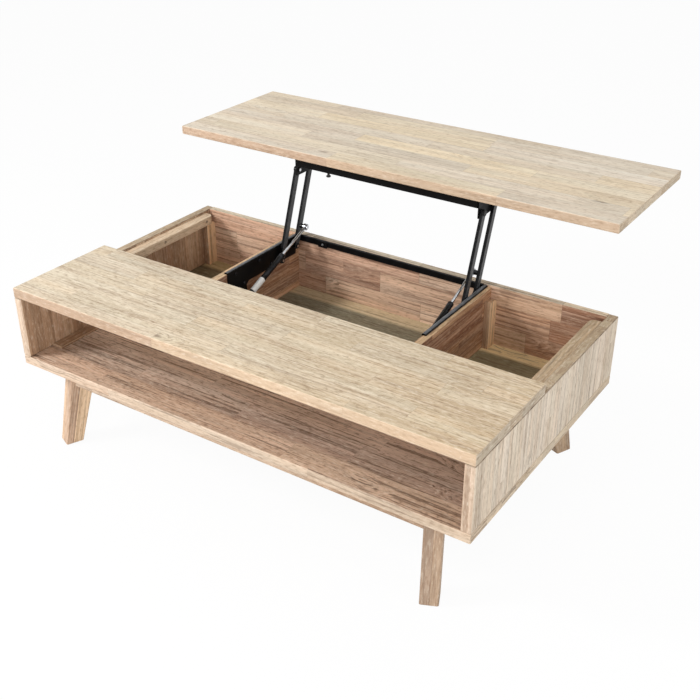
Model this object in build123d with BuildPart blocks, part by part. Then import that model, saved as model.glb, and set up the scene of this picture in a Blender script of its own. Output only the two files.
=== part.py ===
from build123d import *
import os
from math import atan2, cos, hypot, radians, sin, tan

os.makedirs("parts", exist_ok=True)

# Lift top coffee table, millimetres. X runs along the table, Y from the open niche at the front
# to the back, Z up. The lift top is drawn raised, its resting place on the over-centre arms.
# The origin is on the floor, below the middle of the table's box with the lift top raised.

# Carcass boards
table_length = 1200
table_depth = 686
deck_depth = 292
leg_height = 201.5
board = 22.5
deck_board = 25
side_height = 153
inner_board = 18
edge_round = 2.5
partition_set_back = 12
centre_bin_width = 549
divider_drop = 5

# Solid wood trims inside the carcass
cleat_width = 29
cleat_height = 22
cleat_rear_gap = 17
cleat_corner = 17
post_thickness = 16
post_depth = 33
post_gap = 2
post_crown = 14
trim_round = 1.5
batten_width = 31
batten_height = 5
batten_start = 70

# Splayed legs, and the rails between them
leg_end_inset = 113
leg_face_inset = 73
leg_splay = 49
leg_turn = 24
leg_width = 40
leg_top_length = 64
leg_foot_length = 43
leg_round = 4
glide_diameter = 26
glide_thickness = 1.5
rail_height = 45
rail_thickness = 20
rail_set_back = 40

# Wood fixings
dowel_diameter = 8
dowel_length = 30
dowel_into_edge = 18
side_dowel_shares = (0.1, 0.35, 0.65, 0.9)
panel_dowel_shares = (-0.4, 0, 0.4)
divider_dowel_shares = (-0.3, 0.3)
deck_dowel_shares = (0.25, 0.75)
fit_clearance = 0.05
hanger_diameter = 8
hanger_into_leg = 35
insert_diameter = 12
insert_length = 15
leg_dowel_offset = 17
screw_diameter = 4
screw_head_diameter = 8
screw_head_height = 2.4
sunk_angle = 90
screw_depth = 13
counterbore_depth = 6
cleat_screw_pitch = 166
cleat_screw_rear = 29

# Lift linkage
steel = 2.5
plate_length = 291
plate_flange = 10.5
plate_gap = 2
plate_edge = 9
plate_round = 4
lobe_length = 70
lobe_edge = 13
arm_length = 236.2
arm_width = 16
arm_thickness = 8
arm_round = 1
raised_angle = 70.9
spacer_length = 5
bracket_gap = 1
pivot_spacing = 64
pivot_rise = 18
rear_pivot_from_back = 25.5
rear_pivot_drop = 18.5
pin_diameter = 8
pin_head_diameter = 14
pin_head_height = 3
side_play = 0.5
bracket_edge = 13
bracket_flange = 28
lift_deck_gap = 2
lift_rest_gap = 3
upper_tube_depth = 20
upper_tube_height = 30
upper_tube_lead = 17
rear_tube_depth = 6
rear_tube_height = 16.5
rear_tube_rise = 1
tube_wall = 1.5
plate_screw_end = 30
plate_screw_pitch = 95
plate_screw_drop = 9
bracket_screw_pitch = 34
buffer_from_left = 94
buffer_diameter = 12
buffer_height = 13
buffer_cap_height = 4
buffer_stem_diameter = 7
clip_from_left = 83
clip_width = 28
clip_drop = 2

# Gas springs
gas_offset = 15
gas_stud_reach = 53.5
gas_stud_drop = 76.5
gas_stud_from_end = 16
gas_stud_diameter = 8
gas_collar_diameter = 12
gas_tube_diameter = 15
gas_tube_wall = 1.5
gas_guide_length = 12
gas_rod_diameter = 7
gas_rod_overlap = 55
gas_eye_diameter = 17
gas_eye_width = 8
gas_neck_diameter = 7.5
gas_fitting_length = 20
gas_closed_gap = 5
gas_band_start = 24
gas_band_length = 45
gas_band_thickness = 0.3

# Places worked out from the sizes above
arm_run = arm_length * cos(radians(raised_angle))
arm_climb = arm_length * sin(radians(raised_angle))
overall_depth = table_depth + arm_length + arm_run
front_y = -overall_depth / 2
back_y = front_y + table_depth
carcass_mid_y = (front_y + back_y) / 2
floor_z = leg_height + board
side_top_z = floor_z + side_height
deck_top_z = side_top_z + deck_board
inner_length = table_length - 2 * board
side_inner_x = inner_length / 2
back_inner_y = back_y - inner_board
deck_rear_y = front_y + deck_depth
partition_rear_y = deck_rear_y - partition_set_back
partition_front_y = partition_rear_y - inner_board
divider_x = centre_bin_width / 2 + inner_board / 2
divider_top_z = side_top_z - divider_drop
divider_length = back_inner_y - partition_rear_y
divider_mid_y = (back_inner_y + partition_rear_y) / 2
cleat_bottom_z = divider_top_z - cleat_height
post_top_z = cleat_bottom_z - post_gap

# Pivot points of the linkage as (Y, Z), and the raised lift top
rear_base = (back_inner_y - rear_pivot_from_back, divider_top_z - rear_pivot_drop)
front_base = (rear_base[0] - pivot_spacing, rear_base[1] - pivot_rise)
front_top = (front_base[0] + arm_run, front_base[1] + arm_climb)
rear_top = (rear_base[0] + arm_run, rear_base[1] + arm_climb)
lift_front_y = deck_rear_y + lift_deck_gap + arm_length + arm_run
lift_under_z = side_top_z + lift_rest_gap + arm_climb
lift_depth = back_y - deck_rear_y - lift_deck_gap
lift_board = deck_board - lift_rest_gap

# Layers of the linkage outwards from the middle, as distances from the YZ plane
web_outer_x = centre_bin_width / 2
web_inner_x = web_outer_x - steel
arm_outer_x = web_inner_x - spacer_length
arm_inner_x = arm_outer_x - arm_thickness
bracket_outer_x = arm_inner_x - bracket_gap
bracket_inner_x = bracket_outer_x - steel
gas_x = arm_inner_x - gas_offset
plate_rear_y = back_inner_y - plate_gap
plate_front_y = plate_rear_y - plate_length

# Gas spring ends: the upper one rides on the rear arm, the lower one sits on the base plate's lobe
gas_top = (
    rear_base[0] + gas_stud_reach * cos(radians(raised_angle)),
    rear_base[1] + gas_stud_reach * sin(radians(raised_angle)),
)
gas_foot = (plate_front_y + gas_stud_from_end, divider_top_z - gas_stud_drop)
gas_closed_top = (rear_base[0] - gas_stud_reach, rear_base[1])
gas_raised_length = hypot(gas_top[0] - gas_foot[0], gas_top[1] - gas_foot[1])
gas_closed_length = hypot(gas_closed_top[0] - gas_foot[0], gas_closed_top[1] - gas_foot[1])
gas_angle = atan2(gas_top[1] - gas_foot[1], gas_top[0] - gas_foot[0])
gas_direction = Vector(0, cos(gas_angle), sin(gas_angle))
gas_tube_length = gas_closed_length - 2 * gas_fitting_length - gas_closed_gap
gas_rod_length = gas_raised_length - 2 * gas_fitting_length - gas_tube_length + gas_rod_overlap

hands = (("left", -1), ("right", 1))
corners = (("front_left", -1, -1), ("front_right", 1, -1), ("back_left", -1, 1), ("back_right", 1, 1))


def save(piece, name):
    """Label a finished piece and write it under its own name."""
    piece.part.label = name
    export_step(piece.part, f"parts/{name}.step")


def along_x(hand, x, spot):
    """A plane at distance x on one side, square to X and facing the middle of the table."""
    return Plane(origin=(hand * x, spot[0], spot[1]), x_dir=(0, 1, 0), z_dir=(-hand, 0, 0))


def facing_down(x, y, z):
    """A plane that faces the floor, for holes drilled upwards."""
    return Plane(origin=(x, y, z), x_dir=(1, 0, 0), z_dir=(0, 0, -1))


# Spots where dowels hold the upright boards on the bottom panel and the deck on the uprights
side_mid_x = table_length / 2 - board / 2
partition_mid_y = (partition_front_y + partition_rear_y) / 2
back_mid_y = (back_inner_y + back_y) / 2
side_spots = [
    (hand * side_mid_x, front_y + table_depth * share)
    for _, hand in hands
    for share in side_dowel_shares
]
partition_spots = [(inner_length * share, partition_mid_y) for share in panel_dowel_shares]
back_spots = [(inner_length * share, back_mid_y) for share in panel_dowel_shares]
divider_spots = [
    (hand * divider_x, divider_mid_y + divider_length * share)
    for _, hand in hands
    for share in divider_dowel_shares
]
upright_spots = side_spots + partition_spots + back_spots + divider_spots
deck_side_spots = [
    (hand * side_mid_x, front_y + deck_depth * share) for _, hand in hands for share in deck_dowel_shares
]
deck_spots = deck_side_spots + partition_spots
dowel_into_face = dowel_length - dowel_into_edge
dowel_bore = dowel_diameter / 2 + fit_clearance

# Legs, as centres of their tops and feet, with the outward direction that each one leans in
leg_lean = (sin(radians(leg_turn)), cos(radians(leg_turn)))
leg_tops = {
    name: (sx * (table_length / 2 - leg_end_inset), carcass_mid_y + sy * (table_depth / 2 - leg_face_inset))
    for name, sx, sy in corners
}
leg_out = {name: (sx * leg_lean[0], sy * leg_lean[1]) for name, sx, sy in corners}


def leg_spot(name, reach):
    """A point at some reach from a leg's top centre, measured the way the leg leans."""
    return (leg_tops[name][0] + reach * leg_out[name][0], leg_tops[name][1] + reach * leg_out[name][1])


leg_dowels_of = {
    name: [leg_spot(name, -leg_dowel_offset), leg_spot(name, leg_dowel_offset)] for name in leg_tops
}
leg_dowel_spots = [spot for spots in leg_dowels_of.values() for spot in spots]


def rail_reach(inset):
    """Half the length of a leg rail at some distance from the panel's edge, where the legs' sides stop it."""
    past_leg = leg_width / 2 + (inset - leg_face_inset) * leg_lean[0]
    return table_length / 2 - leg_end_inset - past_leg / leg_lean[1]


rail_inner = rail_set_back + rail_thickness
rail_mid = rail_set_back + rail_thickness / 2
rail_spots = [
    (2 * rail_reach(rail_mid) * share, carcass_mid_y + end * (table_depth / 2 - rail_mid))
    for end in (-1, 1)
    for share in panel_dowel_shares
]
insert_bore = insert_diameter / 2 + fit_clearance
hanger_bore = hanger_diameter / 2 + fit_clearance

# Bottom panel: one wide board under the whole carcass
with BuildPart() as bottom_panel:
    with BuildSketch(Plane.XY.offset(leg_height)):
        with Locations((0, carcass_mid_y)):
            Rectangle(table_length, table_depth)
    extrude(amount=board)
    fillet(bottom_panel.edges(), edge_round)
    with Locations(*[(x, y, floor_z) for x, y in upright_spots]):
        Hole(dowel_bore, dowel_into_face)
    with Locations(*[facing_down(x, y, leg_height) for x, y in leg_tops.values()]):
        Hole(insert_bore, insert_length)
    with Locations(*[facing_down(x, y, leg_height) for x, y in leg_dowel_spots + rail_spots]):
        Hole(dowel_bore, dowel_into_face)
save(bottom_panel, "bottom_panel")

# Screws that pull each top cleat against its side panel
cleat_mid_z = divider_top_z - cleat_height / 2
cleat_rear_y = back_inner_y - cleat_rear_gap
cleat_screw_spots = [
    (cleat_rear_y - cleat_screw_rear - step * cleat_screw_pitch, cleat_mid_z) for step in (0, 1)
]
cleat_face_x = side_inner_x - cleat_width
cleat_shank = cleat_width - counterbore_depth + screw_depth
screw_bore = screw_diameter / 2 + fit_clearance

# Side panels: stand on the bottom panel, flush with its ends
for side, hand in hands:
    with BuildPart() as side_panel:
        with BuildSketch(Plane.XY.offset(floor_z)):
            with Locations((hand * side_mid_x, carcass_mid_y)):
                Rectangle(board, table_depth)
        extrude(amount=side_height)
        fillet(side_panel.edges(), edge_round)
        with Locations(*[facing_down(x, y, floor_z) for x, y in side_spots if x * hand > 0]):
            Hole(dowel_bore, dowel_into_edge)
        with Locations(*[(x, y, side_top_z) for x, y in deck_side_spots if x * hand > 0]):
            Hole(dowel_bore, dowel_into_edge)
        with Locations(*[along_x(hand, side_inner_x, spot) for spot in cleat_screw_spots]):
            Hole(screw_bore, screw_depth)
    save(side_panel, f"{side}_side_panel")

# Back panel and niche partition: let in between the side panels
for name, rear_y, spots in (
    ("back_panel", back_y, back_spots),
    ("niche_partition", partition_rear_y, partition_spots),
):
    with BuildPart() as upright:
        with BuildSketch(Plane.XY.offset(floor_z)):
            with Locations((0, rear_y - inner_board / 2)):
                Rectangle(inner_length, inner_board)
        extrude(amount=side_height)
        with Locations(*[facing_down(x, y, floor_z) for x, y in spots]):
            Hole(dowel_bore, dowel_into_edge)
        if name == "niche_partition":
            with Locations(*[(x, y, side_top_z) for x, y in spots]):
                Hole(dowel_bore, dowel_into_edge)
    save(upright, name)

# Front deck: the fixed half of the top, lying on the sides and the partition
with BuildPart() as front_deck:
    with BuildSketch(Plane.XY.offset(side_top_z)):
        with Locations((0, front_y + deck_depth / 2)):
            Rectangle(table_length, deck_depth)
    extrude(amount=deck_board)
    fillet(front_deck.edges(), edge_round)
    with Locations(*[facing_down(x, y, side_top_z) for x, y in deck_spots]):
        Hole(dowel_bore, dowel_into_face)
save(front_deck, "front_deck")

# Screws that fix each base plate to its divider: a row along the top and one in each deep place
plate_screw_z = divider_top_z - plate_screw_drop
plate_low_z = front_base[1] - plate_edge
lobe_low_z = gas_foot[1] - lobe_edge
lobe_rear_y = plate_front_y + lobe_length
plate_screw_spots = [
    (plate_front_y + plate_screw_end + step * plate_screw_pitch, plate_screw_z) for step in (0, 1, 2)
]
plate_screw_spots += [
    (lobe_rear_y - plate_screw_drop, plate_low_z),
    (plate_screw_spots[1][0] + plate_screw_pitch / 2, plate_low_z + plate_screw_drop),
]

# Dividers: part the well behind the partition into three bins and carry the lift hardware
for side, hand in hands:
    with BuildPart() as divider:
        with BuildSketch(Plane.XY.offset(floor_z)):
            with Locations((hand * divider_x, divider_mid_y)):
                Rectangle(inner_board, divider_length)
        extrude(amount=divider_top_z - floor_z)
        with Locations(*[facing_down(x, y, floor_z) for x, y in divider_spots if x * hand > 0]):
            Hole(dowel_bore, dowel_into_edge)
        with Locations(*[along_x(hand, web_outer_x, spot) for spot in plate_screw_spots]):
            Hole(screw_bore, screw_depth)
    save(divider, f"{side}_divider")

# Top cleats: rails along the side panels, with a rounded rear corner and counterbored screws
cleat_x = side_inner_x - cleat_width / 2
cleat_mid_y = (partition_rear_y + cleat_rear_y) / 2
for side, hand in hands:
    with BuildPart() as top_cleat:
        with BuildSketch(Plane.XY.offset(cleat_bottom_z)):
            with Locations((hand * cleat_x, cleat_mid_y)):
                Rectangle(cleat_width, cleat_rear_y - partition_rear_y)
        extrude(amount=cleat_height)
        upright_edges = top_cleat.edges().filter_by(Axis.Z).group_by(Axis.Y)[-1]
        fillet(upright_edges.sort_by(Axis.X)[0 if hand > 0 else -1], cleat_corner)
        fillet(top_cleat.faces().sort_by(Axis.Z)[-1].edges(), trim_round)
        with Locations(*[along_x(hand, cleat_face_x, spot) for spot in cleat_screw_spots]):
            CounterBoreHole(screw_bore, screw_head_diameter / 2 + fit_clearance, counterbore_depth)
    save(top_cleat, f"{side}_top_cleat")

# Corner posts: stiffen the back corners of the two outer bins, with a crowned top
post_places = (
    ("corner_post", side_inner_x - post_thickness / 2),
    ("divider_post", divider_x + inner_board / 2 + post_thickness / 2),
)
for side, hand in hands:
    for name, post_x in post_places:
        with BuildPart() as post:
            with BuildSketch(Plane.XY.offset(floor_z)):
                with Locations((hand * post_x, back_inner_y - post_depth / 2)):
                    Rectangle(post_thickness, post_depth)
            extrude(amount=post_top_z - floor_z)
            fillet(post.faces().sort_by(Axis.Z)[-1].edges().sort_by(Axis.Y)[-1], post_crown)
            fillet(post.faces().sort_by(Axis.Y)[0].edges().filter_by(Axis.Z), trim_round)
        save(post, f"{side}_{name}")

# Niche battens: flat strips on the niche floor, against the side panels
batten_front_y = front_y + batten_start
batten_x = side_inner_x - batten_width / 2
for side, hand in hands:
    with BuildPart() as niche_batten:
        with BuildSketch(Plane.XY.offset(floor_z)):
            with Locations((hand * batten_x, (batten_front_y + partition_front_y) / 2)):
                Rectangle(batten_width, partition_front_y - batten_front_y)
        extrude(amount=batten_height)
        fillet(niche_batten.faces().sort_by(Axis.Z)[-1].edges(), trim_round)
    save(niche_batten, f"{side}_niche_batten")

# Legs: tapered, splayed outwards, cut flat at the panel and at the floor
for name in leg_tops:
    lean = (*leg_out[name], 0)
    foot_plane = Plane(origin=(*leg_spot(name, leg_splay), glide_thickness), x_dir=lean, z_dir=(0, 0, 1))
    top_plane = Plane(origin=(*leg_tops[name], leg_height), x_dir=lean, z_dir=(0, 0, 1))
    with BuildPart() as leg:
        with BuildSketch(foot_plane):
            RectangleRounded(leg_foot_length, leg_width, leg_round)
        with BuildSketch(top_plane):
            RectangleRounded(leg_top_length, leg_width, leg_round)
        loft(ruled=True)
        with Locations(top_plane):
            Hole(hanger_bore, hanger_into_leg)
        with Locations(*[(x, y, leg_height) for x, y in leg_dowels_of[name]]):
            Hole(dowel_bore, dowel_into_edge)
    save(leg, f"{name}_leg")

# Leg rails: bars under the bottom panel, their ends cut to the side faces of the two legs they join
for name, end in (("front", -1), ("back", 1)):
    outer_y = carcass_mid_y + end * (table_depth / 2 - rail_set_back)
    inner_y = carcass_mid_y + end * (table_depth / 2 - rail_inner)
    with BuildPart() as leg_rail:
        with BuildSketch(Plane.XY.offset(leg_height - rail_height)):
            with BuildLine():
                Polyline(
                    (-rail_reach(rail_set_back), outer_y),
                    (rail_reach(rail_set_back), outer_y),
                    (rail_reach(rail_inner), inner_y),
                    (-rail_reach(rail_inner), inner_y),
                    close=True,
                )
            make_face()
        extrude(amount=rail_height)
        fillet(leg_rail.faces().sort_by(Axis.Z)[0].edges().filter_by(Axis.X), trim_round)
        with Locations(*[(x, y, leg_height) for x, y in rail_spots if (y - carcass_mid_y) * end > 0]):
            Hole(dowel_bore, dowel_into_edge)
    save(leg_rail, f"{name}_leg_rail")

# Foot glides: felt discs under the feet
with BuildPart() as foot_glides:
    with BuildSketch():
        with Locations(*[leg_spot(name, leg_splay) for name in leg_tops]):
            Circle(glide_diameter / 2)
    extrude(amount=glide_thickness)
save(foot_glides, "foot_glides")

# Hanger bolts and the threaded inserts in the bottom panel that they screw into
with BuildPart() as leg_hanger_bolts:
    with BuildSketch(Plane.XY.offset(leg_height - hanger_into_leg)):
        with Locations(*leg_tops.values()):
            Circle(hanger_diameter / 2)
    extrude(amount=hanger_into_leg + insert_length)
save(leg_hanger_bolts, "leg_hanger_bolts")

with BuildPart() as leg_insert_nuts:
    with BuildSketch(Plane.XY.offset(leg_height)):
        with Locations(*leg_tops.values()):
            Circle(insert_diameter / 2)
            Circle(hanger_bore, mode=Mode.SUBTRACT)
    extrude(amount=insert_length)
save(leg_insert_nuts, "leg_insert_nuts")

# Dowels: beech pegs in the legs and rails, under the uprights and under the deck
for name, spots, low_z in (
    ("leg_dowels", leg_dowel_spots, leg_height - dowel_into_edge),
    ("rail_dowels", rail_spots, leg_height - dowel_into_edge),
    ("upright_dowels", upright_spots, floor_z - dowel_into_face),
    ("deck_dowels", deck_spots, side_top_z - dowel_into_edge),
):
    with BuildPart() as dowels:
        with BuildSketch(Plane.XY.offset(low_z)):
            with Locations(*spots):
                Circle(dowel_diameter / 2)
        extrude(amount=dowel_length)
    save(dowels, name)

# Cleat screws: pan heads sunk in the counterbores
with BuildPart() as cleat_screws:
    seat_x = cleat_face_x + counterbore_depth
    with Locations(*[along_x(hand, seat_x, spot) for _, hand in hands for spot in cleat_screw_spots]):
        Cylinder(screw_diameter / 2, cleat_shank, align=(Align.CENTER, Align.CENTER, Align.MAX))
        Cylinder(screw_head_diameter / 2, screw_head_height, align=(Align.CENTER, Align.CENTER, Align.MIN))
save(cleat_screws, "cleat_screws")

# Base plates: folded steel, with a lip over the divider and a deep lobe for the gas spring's foot
pin_bore = pin_diameter / 2 + fit_clearance
plate_top_z = divider_top_z + steel
for side, hand in hands:
    with BuildPart() as base_plate:
        with BuildSketch(Plane.YZ.offset(hand * (web_outer_x - steel / 2) - steel / 2)) as web:
            with BuildLine():
                Polyline(
                    (plate_front_y, plate_top_z),
                    (plate_rear_y, plate_top_z),
                    (plate_rear_y, rear_base[1]),
                    (rear_base[0] + plate_edge + plate_round, rear_base[1]),
                    (rear_base[0] + plate_edge, plate_low_z),
                    (lobe_rear_y + plate_edge, plate_low_z),
                    (lobe_rear_y, plate_low_z - plate_edge),
                    (lobe_rear_y, lobe_low_z),
                    (plate_front_y, lobe_low_z),
                    close=True,
                )
            make_face()
            fillet(web.vertices().group_by(Axis.Y)[0], plate_round)
        extrude(amount=steel)
        with BuildSketch(Plane.XY.offset(divider_top_z)):
            with Locations((hand * (web_inner_x + plate_flange / 2), (plate_front_y + plate_rear_y) / 2)):
                Rectangle(plate_flange, plate_length)
        extrude(amount=steel)
        with Locations(*[along_x(hand, web_inner_x, spot) for spot in (front_base, rear_base)]):
            Hole(pin_bore, steel)
        with Locations(*[along_x(hand, web_inner_x, spot) for spot in plate_screw_spots]):
            Hole(screw_bore, steel)
    save(base_plate, f"{side}_base_plate")

with BuildPart() as base_plate_screws:
    with Locations(*[along_x(hand, web_inner_x, spot) for _, hand in hands for spot in plate_screw_spots]):
        Cylinder(screw_diameter / 2, steel + screw_depth, align=(Align.CENTER, Align.CENTER, Align.MAX))
        Cylinder(screw_head_diameter / 2, screw_head_height, align=(Align.CENTER, Align.CENTER, Align.MIN))
save(base_plate_screws, "base_plate_screws")

# Rear cross tube: ties the two base plates together in front of the back panel
rear_tube_z = side_top_z + rear_tube_rise - rear_tube_height / 2
rear_tube_y = plate_rear_y - rear_tube_depth / 2
with BuildPart() as rear_cross_tube:
    with BuildSketch(Plane.YZ.offset(-web_inner_x)):
        with Locations((rear_tube_y, rear_tube_z)):
            RectangleRounded(rear_tube_depth, rear_tube_height, tube_wall)
            Rectangle(rear_tube_depth - 2 * tube_wall, rear_tube_height - 2 * tube_wall, mode=Mode.SUBTRACT)
    extrude(amount=2 * web_inner_x)
save(rear_cross_tube, "rear_cross_tube")

# Tube clip: a small folded tab on the face of the rear tube
clip_front_y = rear_tube_y - rear_tube_depth / 2
with BuildPart() as tube_clip:
    with BuildSketch(Plane.XZ.offset(-clip_front_y)):
        with Locations((-web_inner_x + clip_from_left, rear_tube_z - clip_drop)):
            RectangleRounded(clip_width, rear_tube_height, tube_wall)
    extrude(amount=steel)
save(tube_clip, "tube_clip")

# Base pivot pins, riveted in the base plates, with the spacers that hold the arms off the plates
for name, spot in (("front_base_pins", front_base), ("rear_base_pins", rear_base)):
    with BuildPart() as base_pins:
        with Locations(*[along_x(hand, arm_inner_x - side_play, spot) for _, hand in hands]):
            pin_length = web_outer_x - arm_inner_x + side_play
            Cylinder(pin_diameter / 2, pin_length, align=(Align.CENTER, Align.CENTER, Align.MAX))
            Cylinder(pin_head_diameter / 2, pin_head_height, align=(Align.CENTER, Align.CENTER, Align.MIN))
    save(base_pins, name)

with BuildPart() as base_spacers:
    for _, hand in hands:
        with BuildSketch(along_x(hand, web_inner_x, (0, 0))):
            with Locations(*[(y, -hand * z) for y, z in (front_base, rear_base)]):
                Circle(pin_head_diameter / 2)
                Circle(pin_bore, mode=Mode.SUBTRACT)
        extrude(amount=spacer_length - side_play)
save(base_spacers, "base_spacers")

# Arms: flat bars with round ends, two on each side, parallel at every height
for row, base, top in (("front", front_base, front_top), ("rear", rear_base, rear_top)):
    middle = ((base[0] + top[0]) / 2, (base[1] + top[1]) / 2)
    for side, hand in hands:
        with BuildPart() as arm:
            with BuildSketch(Plane.YZ.offset(hand * (arm_inner_x + arm_thickness / 2) - arm_thickness / 2)):
                with Locations(Location((middle[0], middle[1]), raised_angle)):
                    SlotCenterToCenter(arm_length, arm_width)
                with Locations(base, top):
                    Circle(pin_bore, mode=Mode.SUBTRACT)
                if row == "rear":
                    with Locations(gas_top):
                        Circle(gas_stud_diameter / 2 + fit_clearance, mode=Mode.SUBTRACT)
            extrude(amount=arm_thickness)
            outline = arm.faces().sort_by(Axis.X)
            fillet(outline[0].outer_wire().edges() + outline[-1].outer_wire().edges(), arm_round)
        save(arm, f"{side}_{row}_arm")

# Upper gas studs: stepped pins in the rear arms that carry the rod ends, with a keeper on the tip
gas_sleeve = gas_offset - gas_eye_width / 2 - side_play
gas_tip = gas_offset + gas_eye_width / 2 + side_play
with BuildPart() as upper_gas_studs:
    with Locations(*[along_x(hand, arm_inner_x, gas_top) for _, hand in hands]):
        Cylinder(gas_stud_diameter / 2, gas_tip, align=(Align.CENTER, Align.CENTER, Align.MIN))
        Cylinder(gas_stud_diameter / 2, arm_thickness, align=(Align.CENTER, Align.CENTER, Align.MAX))
        Cylinder(gas_collar_diameter / 2, gas_sleeve, align=(Align.CENTER, Align.CENTER, Align.MIN))
    with Locations(*[along_x(hand, arm_inner_x - gas_tip, gas_top) for _, hand in hands]):
        Cylinder(gas_collar_diameter / 2, steel, align=(Align.CENTER, Align.CENTER, Align.MIN))
save(upper_gas_studs, "upper_gas_studs")

# Lower gas studs: stand on the base plates' lobes and stop just short of the spring's socket
with BuildPart() as lower_gas_studs:
    with Locations(*[along_x(hand, web_inner_x, gas_foot) for _, hand in hands]):
        lower_stud_length = web_inner_x - gas_x - gas_eye_width / 2 - side_play
        Cylinder(gas_stud_diameter / 2, lower_stud_length, align=(Align.CENTER, Align.CENTER, Align.MIN))
        Cylinder(gas_collar_diameter / 2, steel, align=(Align.CENTER, Align.CENTER, Align.MIN))
save(lower_gas_studs, "lower_gas_studs")

# Gas springs: a polished rod with an eye above, a painted tube with a socket below
for side, hand in hands:
    foot = Vector(hand * gas_x, gas_foot[0], gas_foot[1])
    head = Vector(hand * gas_x, gas_top[0], gas_top[1])
    tube_start = foot + gas_direction * gas_fitting_length
    tube_mouth = tube_start + gas_direction * gas_tube_length
    with BuildPart() as gas_cylinder:
        with BuildSketch(Plane(origin=tube_start, z_dir=gas_direction)):
            Circle(gas_tube_diameter / 2)
        extrude(amount=gas_tube_length)
        fillet(gas_cylinder.edges().filter_by(GeomType.CIRCLE), gas_tube_wall)
        with BuildSketch(Plane(origin=tube_start + gas_direction * gas_tube_wall, z_dir=gas_direction)):
            Circle(gas_tube_diameter / 2 - gas_tube_wall)
        extrude(amount=gas_tube_length - gas_tube_wall - gas_guide_length, mode=Mode.SUBTRACT)
        with BuildSketch(Plane(origin=tube_mouth, z_dir=-gas_direction)):
            Circle(gas_rod_diameter / 2 + fit_clearance)
        extrude(amount=gas_guide_length, mode=Mode.SUBTRACT)
    save(gas_cylinder, f"{side}_gas_cylinder")

    with BuildPart() as gas_rod:
        with BuildSketch(Plane(origin=head - gas_direction * gas_fitting_length, z_dir=-gas_direction)):
            Circle(gas_rod_diameter / 2)
        extrude(amount=gas_rod_length)
    save(gas_rod, f"{side}_gas_rod")

# End fittings of the springs, one pair on the rods and one on the tubes
for name, spot, way, bore in (
    ("rod_end_eyes", gas_top, -1, gas_stud_diameter / 2 + fit_clearance),
    ("tube_end_sockets", gas_foot, 1, None),
):
    with BuildPart() as end_fittings:
        for _, hand in hands:
            centre = Vector(hand * gas_x, spot[0], spot[1])
            with BuildSketch(Plane(origin=centre, z_dir=gas_direction * way)):
                Circle(gas_neck_diameter / 2)
            extrude(amount=gas_fitting_length)
        with Locations(*[along_x(hand, gas_x, spot) for _, hand in hands]):
            Cylinder(gas_eye_diameter / 2, gas_eye_width)
            if bore:
                Hole(bore)
    save(end_fittings, name)

# Plain paper bands round the gas tubes
with BuildPart() as gas_tube_bands:
    for _, hand in hands:
        band_start = Vector(hand * gas_x, gas_foot[0], gas_foot[1])
        band_start += gas_direction * (gas_fitting_length + gas_band_start)
        with BuildSketch(Plane(origin=band_start, z_dir=gas_direction)):
            Circle(gas_tube_diameter / 2 + gas_band_thickness)
            Circle(gas_tube_diameter / 2, mode=Mode.SUBTRACT)
        extrude(amount=gas_band_length)
save(gas_tube_bands, "gas_tube_bands")

# Screws that fix each top bracket under the lift top, along its flange
bracket_front_y = front_top[0] - bracket_edge
bracket_rear_y = rear_top[0] + bracket_edge
bracket_mid_y = (bracket_front_y + bracket_rear_y) / 2
bracket_flange_z = lift_under_z - steel
bracket_screw_x = bracket_inner_x + bracket_flange - screw_head_diameter
bracket_screw_spots = [
    (hand * bracket_screw_x, bracket_mid_y + step * bracket_screw_pitch)
    for _, hand in hands
    for step in (-1, 0, 1)
]

# Lift top: the loose half of the top, carried by the brackets
with BuildPart() as lift_top_panel:
    with BuildSketch(Plane.XY.offset(lift_under_z)):
        with Locations((0, lift_front_y + lift_depth / 2)):
            Rectangle(table_length, lift_depth)
    extrude(amount=lift_board)
    fillet(lift_top_panel.edges(), edge_round)
    with Locations(*[facing_down(x, y, lift_under_z) for x, y in bracket_screw_spots]):
        Hole(screw_bore, screw_depth)
save(lift_top_panel, "lift_top_panel")

# Top brackets: folded plates that hang the arms' upper pivots under the lift top
for side, hand in hands:
    with BuildPart() as top_bracket:
        with BuildSketch(Plane.YZ.offset(hand * (bracket_inner_x + steel / 2) - steel / 2)) as cheek:
            with BuildLine():
                Polyline(
                    (bracket_front_y, lift_under_z),
                    (bracket_rear_y, lift_under_z),
                    (bracket_rear_y, rear_top[1] - bracket_edge),
                    (rear_top[0] - bracket_edge, front_top[1] - bracket_edge),
                    (bracket_front_y, front_top[1] - bracket_edge),
                    close=True,
                )
            make_face()
            fillet(cheek.vertices().sort_by(Axis.Y)[:-2], plate_round)
        extrude(amount=steel)
        with BuildSketch(Plane.XY.offset(bracket_flange_z)):
            with Locations((hand * (bracket_inner_x + bracket_flange / 2), bracket_mid_y)):
                Rectangle(bracket_flange, bracket_rear_y - bracket_front_y)
        extrude(amount=steel)
        with Locations(*[along_x(hand, bracket_inner_x, spot) for spot in (front_top, rear_top)]):
            Hole(pin_bore, steel)
        flange_spots = [(x, y) for x, y in bracket_screw_spots if x * hand > 0]
        with Locations(*[facing_down(x, y, bracket_flange_z) for x, y in flange_spots]):
            CounterSinkHole(screw_bore, screw_head_diameter / 2 + fit_clearance, steel, sunk_angle)
    save(top_bracket, f"{side}_top_bracket")

# Bracket screws: sunk flush, so that the closed brackets lie over the base plates
sunk_height = (screw_head_diameter - screw_diameter) / 2 / tan(radians(sunk_angle / 2))
with BuildPart() as bracket_screws:
    with Locations(*[facing_down(x, y, bracket_flange_z) for x, y in bracket_screw_spots]):
        Cylinder(screw_diameter / 2, steel + screw_depth, align=(Align.CENTER, Align.CENTER, Align.MAX))
        Cone(
            screw_diameter / 2,
            screw_head_diameter / 2,
            sunk_height,
            align=(Align.CENTER, Align.CENTER, Align.MAX),
        )
save(bracket_screws, "bracket_screws")

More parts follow.
